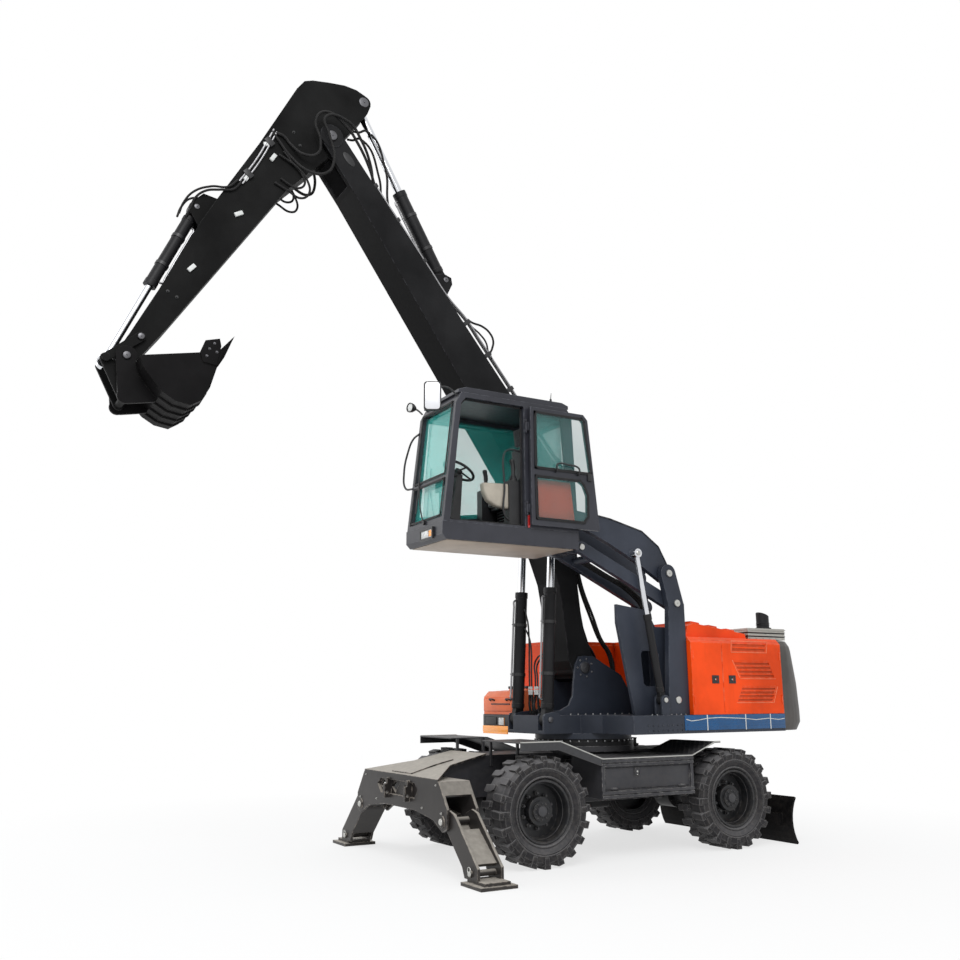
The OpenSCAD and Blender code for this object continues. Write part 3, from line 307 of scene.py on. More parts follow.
@dataclass(frozen=True)
class Paint:
    """Sprayed metal with mottling, streaks, dust on level faces, rubbed edges and painted shade on faces that
    look down; a pale, even soil also paints sheen on level faces, and a pale edge colour paints highlights
    along the edges.
    """

    name: str
    colour: RGB
    rough: float = 0.42
    dust: float = 0.3
    wear_and_highlight: float = 0.4
    edge_radius: float = 0.008
    coat: float = 0.0
    # Colour of rubbed edges: the metal beneath, and where it is pale, a painted highlight along the edges.
    bare_and_highlight: RGB = rgb(120, 116, 112)
    soil: RGB = rgb(126, 118, 108)
    # Dust near the ground, how evenly dust and painted sheen spread, specular level, and painted shade on
    # faces that look down.
    low: float = 0.45
    even: float = 0.0
    gloss: float = 0.5
    under: float = 0.0

    def make(self) -> bpy.types.Material:
        """Builds the material.

        Returns:
            The finished material.
        """
        t = Tree(self.name)
        broad = t.noise(1.3, 4)
        fine = t.noise(16, 6)
        streak = t.noise(9, 5, (1, 1, 0.12))
        soft, lean = t.edge(self.edge_radius)
        deep = scaled(self.colour, 0.80)
        pale = tuple(min(1.0, c * 1.14 + 0.004) for c in self.colour)
        base = t.blend(broad.ramp(0.36, 0.64), deep, pale)
        base = t.blend(streak.ramp(0.54, 0.74) * 0.22, base, scaled(self.colour, 0.55))
        low = 1 - t.height().ramp(0.1, 1.7)
        # Dust on level faces and near the ground; with a pale, even soil it also paints sheen on the tops.
        dust_and_top_light = t.upward().ramp(0.2, 0.95) * 0.75 + low * self.low
        dust = dust_and_top_light * (fine.ramp(0.38, 0.72) * (1 - self.even) + self.even) * self.dust
        base = t.blend(dust, base, self.soil)
        # Painted shade: faces that look down are darkened towards a quarter of the colour.
        if self.under > 0:
            down = (0 - t.upward()).ramp(0.15, 0.6) * self.under
            base = t.blend(down, base, scaled(self.colour, 0.25))
        # Edges turn toward the edge colour: paint rubbed through, and where that colour is pale, a painted
        # highlight.
        rubbed_and_lit = lean.ramp(0.015, 0.10) * fine.ramp(0.42, 0.60) * self.wear_and_highlight
        base = t.blend(rubbed_and_lit, base, self.bare_and_highlight)
        t.set(Base_Color=base, Roughness=fine * 0.16 + dust * 0.35 + (self.rough - 0.08), Metallic=rubbed_and_lit * 0.6)
        t.set(Specular_IOR_Level=self.gloss, Coat_Weight=self.coat, Coat_Roughness=0.12)
        t.bump(t.noise(260, 2) * 0.35 + fine, 0.0012, 0.35, soft)
        return t.material


@dataclass(frozen=True)
class Rubber:
    """Tyre and hose rubber with fine grain, dried soil, a painted sky highlight on faces that look up and
    painted highlights along edges.
    """

    name: str
    colour: RGB = rgb(29, 28, 31)
    soil: RGB = rgb(112, 106, 101)
    # Amount of dust; it also sets the painted sky highlight on faces that look up.
    dust: float = 0.35
    edge_radius: float = 0.006
    gloss: float = 0.3

    def make(self) -> bpy.types.Material:
        """Builds the material.

        Returns:
            The finished material.
        """
        t = Tree(self.name)
        fine = t.noise(24, 6)
        broad = t.noise(3.2, 4)
        soft, lean = t.edge(self.edge_radius)
        base = t.blend(broad.ramp(0.35, 0.66), scaled(self.colour, 0.75), scaled(self.colour, 1.3))
        # Soil heavier on faces that look up: dust, and in part a painted sky light on the tops.
        dust_and_top_light = t.upward().ramp(0.1, 0.9) * 0.6 + 0.6
        base = t.blend(fine.ramp(0.42, 0.72) * dust_and_top_light * self.dust, base, self.soil)
        # Painted highlight: faces that look up turn pale grey as if lit by the sky.
        base = t.blend(t.upward().ramp(0.15, 0.9) * self.dust * 1.5, base, rgb(140, 139, 141))
        # Painted highlight: pale lines along the edges.
        base = t.blend(lean.ramp(0.02, 0.16) * 0.5, base, rgb(150, 148, 147))
        t.set(Base_Color=base, Roughness=fine * 0.25 + 0.50, Specular_IOR_Level=self.gloss)
        t.bump(t.noise(420, 3) + fine * 0.8, 0.0016, 0.5, soft)
        return t.material


@dataclass(frozen=True)
class Metal:
    """Bare or plated metal with turning marks."""

    name: str
    colour: RGB
    rough: float = 0.16
    marks: float = 0.10
    smear: float = 0.25

    def make(self) -> bpy.types.Material:
        """Builds the material.

        Returns:
            The finished material.
        """
        t = Tree(self.name)
        fine = t.noise(60, 4)
        film = t.noise(5, 5)
        soft, _ = t.edge(0.003)
        base = t.blend(film.ramp(0.5, 0.75) * self.smear, self.colour, scaled(self.colour, 0.45))
        t.set(Base_Color=base, Metallic=1.0, Roughness=fine * self.marks + film * 0.12 + (self.rough - 0.06))
        t.bump(t.noise(520, 2), 0.0003, 0.2, soft)
        return t.material


@dataclass(frozen=True)
class Plastic:
    """Moulded plastic with a pebbled grain."""

    name: str
    colour: RGB
    rough: float = 0.45
    grain: float = 300.0

    def make(self) -> bpy.types.Material:
        """Builds the material.

        Returns:
            The finished material.
        """
        t = Tree(self.name)
        cells = t.out("ShaderNodeTexVoronoi", None, {"Vector": t.place(), "Scale": self.grain}, "Distance")
        film = t.noise(7, 4)
        soft, _ = t.edge(0.004)
        base = t.blend(film.ramp(0.35, 0.7), self.colour, scaled(self.colour, 0.78))
        t.set(Base_Color=base, Roughness=film * 0.15 + (self.rough - 0.07))
        t.bump(cells, 0.0008, 0.35, soft)
        return t.material


@dataclass(frozen=True)
class Pane:
    """Tinted window glass with a faint film of dust."""

    name: str
    colour: RGB
    clear: float = 0.55

    def make(self) -> bpy.types.Material:
        """Builds the material.

        Returns:
            The finished material.
        """
        t = Tree(self.name)
        film = t.noise(1.1, 2)
        base = t.blend(film.ramp(0.3, 0.75), self.colour, tuple(min(1.0, c * 1.18) for c in self.colour))
        t.set(Base_Color=base, Roughness=film * 0.03 + 0.01, Alpha=film * 0.16 + (1 - self.clear - 0.08))
        t.set(Coat_Weight=1.0, Coat_Roughness=0.02)
        return t.material


@dataclass(frozen=True)
class Lens:
    """Moulded lamp glass with ribs, and a glow that paints light on the lens."""

    name: str
    colour: RGB
    ribs: float = 90.0
    # Strength of a painted glow that brightens the lens where it sits in shade.
    glow: float = 0.0

    def make(self) -> bpy.types.Material:
        """Builds the material.

        Returns:
            The finished material.
        """
        t = Tree(self.name)
        wave = t.out("ShaderNodeTexWave", {"wave_type": "BANDS", "bands_direction": "Y"},
                     {"Vector": t.place(), "Scale": self.ribs, "Distortion": 0.0}, "Fac")
        film = t.noise(18, 3)
        base = t.blend(wave * 0.35 + film * 0.3, self.colour, scaled(self.colour, 0.72))
        t.set(Base_Color=base, Roughness=film * 0.1 + 0.08, Coat_Weight=0.8)
        # Painted light: the lens glows though its lamp is off.
        if self.glow > 0:
            t.set(Emission_Color=base, Emission_Strength=self.glow)
        t.bump(wave, 0.002, 0.5)
        return t.material


@dataclass(frozen=True)
class Cloth:
    """Woven seat cloth."""

    name: str
    colour: RGB
    threads: float = 420.0

    def make(self) -> bpy.types.Material:
        """Builds the material.

        Returns:
            The finished material.
        """
        t = Tree(self.name)
        warp, weft = (t.out("ShaderNodeTexWave", {"bands_direction": way},
                            {"Vector": t.place(), "Scale": self.threads}, "Fac") for way in ("Y", "DIAGONAL"))
        film = t.noise(9, 4)
        base = t.blend(warp * weft * 0.7 + film * 0.3, scaled(self.colour, 0.6), scaled(self.colour, 1.4))
        t.set(Base_Color=base, Roughness=film * 0.1 + 0.82, Sheen_Weight=0.4)
        t.bump(warp * 0.5 + weft * 0.5, 0.0012, 0.6)
        return t.material


@dataclass(frozen=True)
class Tread:
    """Painted walkway plate with raised bars."""

    name: str
    colour: RGB
    bars: float = 5.2
    turn: float = 0.785

    def make(self) -> bpy.types.Material:
        """Builds the material.

        Returns:
            The finished material.
        """
        t = Tree(self.name)
        at = {"Vector": t.place(turn=(0, 0, self.turn)), "Scale": self.bars}
        first, second = (t.out("ShaderNodeTexWave", {"bands_direction": way}, at, "Fac") for way in "XY")
        flat = t.upward().ramp(0.8, 0.95)
        bars = first.ramp(0.75, 0.9) * second.ramp(0.2, 0.5) * flat
        fine = t.noise(20, 5)
        soft, lean = t.edge(0.006)
        base = t.blend(fine.ramp(0.35, 0.7), scaled(self.colour, 0.75), scaled(self.colour, 1.2))
        base = t.blend(bars * 0.35 + lean.ramp(0.02, 0.1) * 0.5, base, rgb(140, 138, 134))
        base = t.blend(fine.ramp(0.5, 0.75) * 0.3 * flat, base, rgb(120, 112, 104))
        t.set(Base_Color=base, Roughness=fine * 0.2 + 0.42)
        t.bump(bars + fine * 0.1, 0.004, 0.6, soft)
        return t.material


class Finish:
    """Every finish of the machine, made once."""

    TABLE = {
        # Orange paints: their pale orange edge colour paints highlights along the edges.
        "orange": Paint("orange_paint", rgb(236, 72, 3), rough=0.36, dust=0.08, wear_and_highlight=0.45, edge_radius=0.014,
                        coat=0.1, bare_and_highlight=rgb(255, 176, 136), gloss=0.16),
        # A lighter copy of the orange that paints the sheen of light on faces turned to the front.
        "sheen": Paint("front_box_painted_sheen", rgb(254, 124, 78), rough=0.36, dust=0.08, wear_and_highlight=0.45,
                       edge_radius=0.014, coat=0.1, bare_and_highlight=rgb(255, 186, 150), gloss=0.2),
        "charcoal": Paint("charcoal_paint", rgb(27, 27, 29), rough=0.44, dust=0.14, wear_and_highlight=0.35, gloss=0.18),
        # Boom and stick: under paints shade on faces that look down, and the grey edge colour is rubbed paint
        # with a painted highlight.
        "boom": Paint("boom_paint", rgb(31, 31, 32), rough=0.50, dust=0.08, wear_and_highlight=0.40, edge_radius=0.014,
                      bare_and_highlight=rgb(112, 112, 118), gloss=0.04, under=0.95),
        "stick": Paint("stick_paint", rgb(22, 22, 22), rough=0.50, dust=0.08, wear_and_highlight=0.32, edge_radius=0.012,
                       bare_and_highlight=rgb(96, 96, 98), gloss=0.04, under=0.5),
        "cab": Paint("cab_paint", rgb(46, 47, 54), rough=0.36, dust=0.12, wear_and_highlight=0.5, edge_radius=0.012,
                     coat=0.1, bare_and_highlight=rgb(132, 134, 142), gloss=0.3),
        # Frame and deck: the pale edge colour is rubbed paint with a painted highlight along the edges.
        "frame": Paint("frame_paint", rgb(52, 52, 56), rough=0.46, dust=0.28, wear_and_highlight=0.65, edge_radius=0.012,
                       bare_and_highlight=rgb(172, 170, 168), gloss=0.35),
        "deck": Paint("deck_paint", rgb(45, 50, 61), rough=0.44, dust=0.16, wear_and_highlight=0.5, edge_radius=0.012,
                      bare_and_highlight=rgb(124, 127, 135), gloss=0.3),
        "weight": Paint("counterweight_paint", rgb(80, 77, 74), rough=0.48, dust=0.16, wear_and_highlight=0.35,
                        edge_radius=0.014, gloss=0.3),
        # Outriggers: the pale soil spread evenly on their tops is dust and a painted sheen, and the pale edge
        # colour is rubbed paint with a painted highlight.
        "rigger": Paint("outrigger_paint", rgb(34, 31, 31), rough=0.34, dust=0.95, wear_and_highlight=0.8,
                        edge_radius=0.016, bare_and_highlight=rgb(170, 160, 150), soil=rgb(206, 199, 188), low=0.04,
                        gloss=0.2, even=0.75),
        "bucket": Paint("bucket_paint", rgb(16, 15, 16), rough=0.50, dust=0.10, wear_and_highlight=0.4,
                        bare_and_highlight=rgb(70, 67, 65), gloss=0.05),
        "lip": Paint("rim_lip_paint", rgb(52, 52, 55), rough=0.36, dust=0.15, wear_and_highlight=0.6, gloss=0.4),
        "tan": Paint("underside_paint", rgb(160, 147, 133), rough=0.5, dust=0.1, wear_and_highlight=0.2),
        "quarter": Paint("quarter_panel_paint", rgb(240, 80, 20), rough=0.4, dust=0.05, wear_and_highlight=0.1, gloss=0.2),
        "rim": Paint("rim_paint", rgb(26, 27, 30), rough=0.40, dust=0.18, wear_and_highlight=0.5, gloss=0.3),
        "rubber": Rubber("tyre_rubber", edge_radius=0.022),
        "hose": Rubber("hose_rubber", rgb(17, 17, 18), dust=0.08, edge_radius=0.002, gloss=0.2),
        "gasket": Rubber("window_gasket", rgb(24, 24, 26), dust=0.10, edge_radius=0.002),
        "chrome": Metal("chromed_rod", rgb(214, 216, 220), rough=0.10, marks=0.08, smear=0.10),
        "steel": Metal("machined_steel", rgb(150, 150, 152), rough=0.30, marks=0.14, smear=0.4),
        "pin": Metal("pin_steel", rgb(104, 104, 107), rough=0.36, marks=0.14, smear=0.4),
        "zinc": Metal("zinc_plate", rgb(190, 190, 186), rough=0.28, marks=0.16, smear=0.25),
        "silver": Metal("muffler_sheet", rgb(176, 174, 168), rough=0.34, marks=0.18, smear=0.35),
        "glass": Pane("tinted_glass", rgb(74, 204, 194), clear=0.66),
        # A darker copy of the tinted glass that paints the shade of a dark cab behind the door's glass.
        "door_pane_painted_shade": Pane("door_glass", rgb(58, 106, 104), clear=0.72),
        "shade": Paint("louvre_shade", rgb(204, 82, 44), rough=0.5, dust=0.2, wear_and_highlight=0.1, gloss=0.1),
        "mirror": Metal("mirror_face", rgb(228, 229, 233), rough=0.34, marks=0.03, smear=0.03),
        "cream": Plastic("console_plastic", rgb(176, 168, 154), rough=0.5),
        "black": Plastic("black_plastic", rgb(30, 30, 32), rough=0.42),
        "grip": Plastic("grip_plastic", rgb(24, 24, 26), rough=0.55, grain=500),
        "lamp": Lens("lamp_lens", rgb(226, 228, 226)),
        # The amber lens glows a little: painted light that brightens it in shade.
        "amber": Lens("amber_lens", rgb(255, 156, 14), ribs=60, glow=0.34),
        "red": Lens("red_lens", rgb(170, 28, 26), ribs=80),
        "blue": Plastic("sill_film", rgb(0, 78, 130), rough=0.28, grain=40),
        "white": Plastic("pale_band", rgb(214, 216, 214), rough=0.4, grain=200),
        "cloth": Cloth("seat_cloth", rgb(46, 46, 50)),
        "tread": Tread("fender_plate", rgb(48, 48, 51)),
    }
    made: dict[str, bpy.types.Material] = {}

    @classmethod
    def get(cls, key: str) -> bpy.types.Material:
        """Gives a finish, and makes it when it is first asked for.

        Args:
            key: its short name.
        Returns:
            The material.
        """
        if key not in cls.made:
            cls.made[key] = cls.TABLE[key].make()
        return cls.made[key]


@dataclass
class Flat:
    """A side view line with its own axes: u along it and v square to it."""

    start: Vector
    end: Vector

    def at(self, u: float, v: float, y: float) -> Vector:
        """The row's point u along, v square to the line and y across."""
        d = Vector((self.end.x - self.start.x, self.end.z - self.start.z)).normalized()
        return Vector((self.start.x + d.x * u - d.y * v, y, self.start.z + d.y * u + d.x * v))


class Site:
    """Where the machine's axes are in the row's frame."""

    def __init__(self, frame: dict) -> None:
        """Reads the joints.
        """
        self.pins = {j["name"]: Vector(j["pos_m"]) for j in frame["joints"] if "pos_m" in j}
        self.slew_x = self.pins["slew"].x
        self.boom = Flat(self.pins["boom_lift"], self.pins["stick_swing"])
        self.stick = Flat(self.pins["stick_swing"], self.pins["bucket_curl"])

    def p(self, x: float, y: float, z: float) -> Vector:
        """The row's point of a place about the slew axis."""
        return Vector((x + self.slew_x, y, z))


class Shape:
    """A piece in the making: a bmesh that grows by operators."""

    def __init__(self) -> None:
        """Starts empty."""
        self.bm = bmesh.new()

    def block(self, low: Point, high: Point, bevel: float = 0.004, segments: int = 2) -> "Shape":
        """A box with rounded edges between two corners."""
        a, b = Vector(low), Vector(high)
        return self.cube(Matrix.Translation((a + b) / 2) @ Matrix.Diagonal((*(b - a), 1)), bevel, segments)

    def cube(self, matrix: Matrix, bevel: float, segments: int = 2) -> "Shape":
        """A unit cube placed by a matrix, with rounded edges."""
        made = bmesh.ops.create_cube(self.bm, size=1.0, matrix=matrix)
        return self.round_off(made["verts"], bevel, segments)

    def round_off(self, verts: Iterable[bmesh.types.BMVert], bevel: float, segments: int = 2) -> "Shape":
        """Bevels every edge of some vertices.

        Args:
            verts: the vertices.
            bevel: how far the rounding reaches, or 0 for none.
            segments: its steps.
        Returns:
            This shape.
        """
        if bevel > 0:
            edges = list({e for v in verts for e in v.link_edges})
            bmesh.ops.bevel(self.bm, geom=edges, offset=bevel, affect="EDGES", segments=segments, profile=0.5,
                            material=-1)
        return self

    def rod(self, a: Point, b: Point, radius: float, end: float | None = None, segments: int = 20,
            bevel: float = 0.0) -> "Shape":
        """A round bar between two points.

        Args:
            a: middle of its first end.
            b: middle of its second end.
            radius: radius at the first end.
            end: radius at the second end, where the bar is tapered.
            segments: sides of the bar.
            bevel: rounding of its rims.
        Returns:
            This shape.
        """
        a, b = Vector(a), Vector(b)
        d = b - a
        matrix = Matrix.Translation((a + b) / 2) @ d.to_track_quat("Z", "Y").to_matrix().to_4x4()
        made = bmesh.ops.create_cone(self.bm, cap_ends=True, cap_tris=False, segments=segments,
                                     radius1=radius, radius2=radius if end is None else end,
                                     depth=d.length, matrix=matrix)
        if bevel > 0:
            caps = [e for v in made["verts"] for e in v.link_edges
                    if any(len(f.verts) > 4 for f in e.link_faces)]
            bmesh.ops.bevel(self.bm, geom=list(set(caps)), offset=bevel, affect="EDGES", segments=2,
                            profile=0.5, material=-1)
        return self

    def run(self, points: Sequence[Point], radius: float, segments: int = 8) -> "Shape":
        """Round bars from each point to the next.

        Args:
            points: the points.
            radius: radius of the bars.
            segments: sides of the bars.
        Returns:
            This shape.
        """
        for a, b in zip(points, points[1:]):
            self.rod(a, b, radius, segments=segments)
        return self

    def nut(self, at: Point, axis: Point, across: float, tall: float) -> "Shape":
        """A hexagon head on a washer.

        Args:
            at: its foot on the face that carries it.
            axis: direction that it stands in.
            across: its size.
            tall: its height with the washer.
        Returns:
            This shape.
        """
        at, axis = Vector(at), Vector(axis).normalized()
        self.rod(at, at + axis * tall * 0.2, across * 0.85, segments=14)
        return self.rod(at + axis * tall * 0.2, at + axis * tall, across * 0.58, across * 0.54, 6)

    def turned(self, at: Point, axis: Point, profile: Sequence[Pair], segments: int = 32) -> "Shape":
        """A turned piece.

        Args:
            at: a point of the axis.
            axis: its direction.
            profile: radius and distance along the axis, from one end to the other.
            segments: steps of the turn.
        Returns:
            This shape.
        """
        at, axis = Vector(at), Vector(axis).normalized()
        side = axis.orthogonal().normalized()
        before = len(self.bm.verts)
        verts = [self.bm.verts.new(at + side * r + axis * h) for r, h in profile]
        edges = [self.bm.edges.new(pair) for pair in zip(verts, verts[1:])]
        bmesh.ops.spin(self.bm, geom=verts + edges, cent=at, axis=axis, angle=math.tau, steps=segments,
                       use_merge=True, use_duplicate=False)
        bmesh.ops.remove_doubles(self.bm, verts=list(self.bm.verts)[before:], dist=1e-6)
        return self

    def ring(self, at: Point, axis: Point, radius: float, tube: float, segments: int = 40,
             sides: int = 10) -> "Shape":
        """A round bar bent into a full ring."""
        turns = circle(sides, tube)
        return self.turned(at, axis, [(radius + a, b) for a, b in turns + turns[:1]], segments)

    def plate(self, outline: Sequence[Point], thick: Point, bevel: float = 0.0, segments: int = 2) -> "Shape":
        """A flat outline drawn out along a vector.

        Args:
            outline: its corners.
            thick: the vector.
            bevel: rounding of its edges.
            segments: steps of the rounding.
        Returns:
            This shape.
        """
        verts = [self.bm.verts.new(Vector(p)) for p in outline]
        face = self.bm.faces.new(verts)
        made = bmesh.ops.extrude_face_region(self.bm, geom=[face])
        new = [g for g in made["geom"] if isinstance(g, bmesh.types.BMVert)]
        bmesh.ops.translate(self.bm, verts=new, vec=Vector(thick))
        return self.round_off(verts + new, bevel, segments)

    def fillet(self, before: Point, corner: Point, after: Point, size: float, thick: Point) -> "Shape":
        """Fills one corner of a window with a hollow curve.

        Args:
            before: the outline's point before the corner.
            corner: the corner.
            after: the point after it.
            size: how far the curve reaches along both sides.
            thick: how the piece is drawn out.
        Returns:
            This shape.
        """
        c = Vector(corner)
        a = c + (Vector(before) - c).normalized() * size
        b = c + (Vector(after) - c).normalized() * size
        curve = [a * (1 - t) ** 2 + c * 2 * t * (1 - t) + b * t * t for t in (k / 6 for k in range(7))]
        for p, q in zip(curve, curve[1:]):
            self.plate([c, p, q], thick)
        return self

    def frame(self, outline: Sequence[Point], thick: Point, width: float, corner: float = 0.0) -> "Shape":
        """A flat border inside an outline, drawn out along a vector.

        Args:
            outline: its outer corners.
            thick: the vector.
            width: how wide the border is.
            corner: rounding of its inner corners.
        Returns:
            This shape.
        """
        if corner > 0:
            count = len(outline)
            for k in range(count):
                self.fillet(outline[k - 1], outline[k], outline[(k + 1) % count], width + corner, thick)
        verts = [self.bm.verts.new(Vector(p)) for p in outline]
        face = self.bm.faces.new(verts)
        face.normal_update()
        inset = bmesh.ops.inset_region(self.bm, faces=[face], thickness=width, use_even_offset=True,
                                       use_boundary=True)
        bmesh.ops.delete(self.bm, geom=[face], context="FACES_ONLY")
        made = bmesh.ops.extrude_face_region(self.bm, geom=inset["faces"])
        new = [g for g in made["geom"] if isinstance(g, bmesh.types.BMVert)]
        bmesh.ops.translate(self.bm, verts=new, vec=Vector(thick))
        return self

    def hose(self, points: Sequence[Point], radius: float, sides: int = 3, steps: int = 10) -> "Shape":
        """A round line that runs smoothly through its points.

        Args:
            points: the points.
            radius: radius of the line.
            sides: how round it is.
            steps: steps between two points.
        Returns:
            This shape.
        """
        data = bpy.data.curves.new("route", "CURVE")
        data.dimensions = "3D"
        data.resolution_u = steps
        data.bevel_depth = radius
        data.bevel_resolution = sides
        data.use_fill_caps = True
        spline = data.splines.new("BEZIER")
        spline.bezier_points.add(len(points) - 1)
        for knot, point in zip(spline.bezier_points, points):
            knot.co = Vector(point)
            knot.handle_left_type = knot.handle_right_type = "AUTO"
        route = bpy.data.objects.new("route", data)
        bpy.context.scene.collection.objects.link(route)
        bpy.context.view_layer.update()
        mesh = bpy.data.meshes.new_from_object(route.evaluated_get(bpy.context.evaluated_depsgraph_get()))
        self.bm.from_mesh(mesh)
        bpy.data.objects.remove(route)
        bpy.data.meshes.remove(mesh)
        bpy.data.curves.remove(data)
        return self

    def piece(self, name: str, finish: str, body: str | None, slot: Slot,
              angle: float = 0.6) -> bpy.types.Object:
        """Ends the piece.

        Args:
            name: the piece's name.
            finish: short name of its finish.
            body: the body that it rides on, or None to leave it without a body.
            slot: the record's slot; not used.
            angle: edges sharper than this stay sharp.
        Returns:
            The object.
        """
        bmesh.ops.recalc_face_normals(self.bm, faces=self.bm.faces)
        for f in self.bm.faces:
            f.smooth = True
        for e in self.bm.edges:
            e.smooth = len(e.link_faces) == 2 and e.calc_face_angle() < angle
        mesh = bpy.data.meshes.new(name)
        self.bm.to_mesh(mesh)
        self.bm.free()
        mesh.materials.append(Finish.get(finish))
        obj = bpy.data.objects.new(name, mesh)
        bpy.context.scene.collection.objects.link(obj)
        if body:
            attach(obj, body)
        LOG.info("piece %s on %s: %d faces", name, body, len(mesh.polygons))
        return obj


@dataclass
class Solids:
    """Dresses the solids that carry over."""

    finishes: dict[str, str] = field(default_factory=lambda: {
        "frame": "frame", "front_axle": "charcoal", "rear_axle": "charcoal", "side_boxes": "frame",
        "fender_decks": "tread", "slew_ring": "charcoal", "outrigger_beam": "rigger", "leg_l": "rigger",
        "leg_r": "rigger", "blade": "bucket", "blade_barrels": "charcoal", "blade_rods": "chrome",
        "knuckle_l": "charcoal", "knuckle_r": "charcoal",
        "upper_frame": "deck", "counterweight": "weight", "hood_left": "orange", "hood_right": "orange",
        # The right box takes the sheen finish, a lighter orange that paints the light on its front.
        "hood_top": "orange", "right_box": "sheen", "upper_lamps": "amber", "engine": "charcoal",
        "muffler": "silver", "exhaust": "charcoal",
        "tower": "deck", "boom": "boom", "boom_barrels": "charcoal", "boom_rods": "chrome", "stick": "stick",
        "stick_barrel": "charcoal", "stick_rod": "chrome", "bucket": "bucket", "bucket_barrel": "charcoal",
        "bucket_rod": "chrome", "rocker": "stick", "link": "stick", "lift_arm": "deck", "lift_link": "deck",
        "lift_barrel": "charcoal", "lift_rod": "chrome", "cab_floor": "cab", "cab_shell": "cab",
        "cab_roof": "cab", "cab_glass": "glass", "cab_lamps": "lamp", "seat": "cloth", "controls": "black",
        # The door's glass takes the darker pane that paints the shade behind it.
        "door": "cab", "door_glass": "door_pane_painted_shade",
    })

    def dress(self, nodes: dict[str, bpy.types.Object]) -> None:
        """Gives every solid its finish.

        Args:
            nodes: name to object.
        """
        for name, obj in nodes.items():
            key = self.finishes.get(name, "rubber" if name.startswith("tyre") else "rim")
            obj.data.materials.clear()
            obj.data.materials.append(Finish.get(key))
            LOG.info("solid %s in %s", name, key)


@dataclass
class Wheels:
    """Trim of the four wheels."""

    half_width: float = 0.21
    lugs: int = 20
    lug_radius: float = 0.515
    lug_size: Point = (0.062, 0.03, 0.085)
    wall_rings: tuple[Point, ...] = ((0.006, 0.462, 0.010), (0.030, 0.372, 0.012))
    lip_rings: tuple[Point, ...] = ((0.042, 0.331, 0.005), (0.120, 0.297, 0.004))
    nuts: int = 10
    nut_circle: float = 0.190
    cap_circle: float = 0.088

    def build(self) -> None:
        """Adds ribs, rings, nuts and a valve to each wheel."""
        for tag, end in (("fl", "front_left"), ("fr", "front_right"), ("rl", "rear_left"),
                         ("rr", "rear_right")):
            self.dress(tag, f"wheel_{end}")

    def dress(self, tag: str, body: str) -> None:
        """Dresses one wheel.

        Args:
            tag: end of the wheel's solid's name.
            body: the wheel's body.
        """
        low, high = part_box("tyre_" + tag)
        mid = (low + high) / 2
        out = Vector((0, 1 if mid.y > 0 else -1, 0))
        side = self.half_width
        ribs = Shape()
        for face in SIDES:
            for x, z in circle(self.lugs, 1.0, 0.0 if face > 0 else 0.5):
                radial, along = Vector((x, 0, z)), Vector((-z, 0, x))
                at = mid + radial * self.lug_radius + out * face * (side - 0.012)
                basis = Matrix((along, out * face, radial)).transposed().to_4x4()
                ribs.cube(Matrix.Translation(at) @ basis @ Matrix.Diagonal((*self.lug_size, 1)), 0.008)
            for sunk, radius, tube in self.wall_rings:
                ribs.ring(mid + out * face * (side - sunk), out, radius, tube, 48, 8)
        ribs.piece("tyre_ribs_" + tag, "rubber", body, Slot.TYRE)
        lip = Shape()
        for sunk, radius, tube in self.lip_rings:
            lip.ring(mid + out * (side - sunk), out, radius, tube, 56, 8)
        valve = mid + out * 0.085 + Vector((0.18, 0, -0.24))
        lip.rod(valve, valve + out * 0.050 + Vector((0.02, 0, -0.015)), 0.010, 0.008, 10)
        lip.piece("rim_lip_" + tag, "lip", body, Slot.RIM)
        hub = Shape()
        hub.turned(mid, out, [(0.0, 0.150), (0.030, 0.149), (0.055, 0.138), (0.062, 0.120), (0.062, 0.112)],
                   28)
        for x, z in circle(self.nuts, 1.0, 0.5):
            ring = Vector((x, 0, z))
            hub.nut(mid + ring * self.nut_circle + out * 0.012, out, 0.028, 0.032)
            hub.nut(mid + ring * self.cap_circle + out * 0.115, out, 0.013, 0.012)
        hub.piece("hub_nuts_" + tag, "lip", body, Slot.RIM)


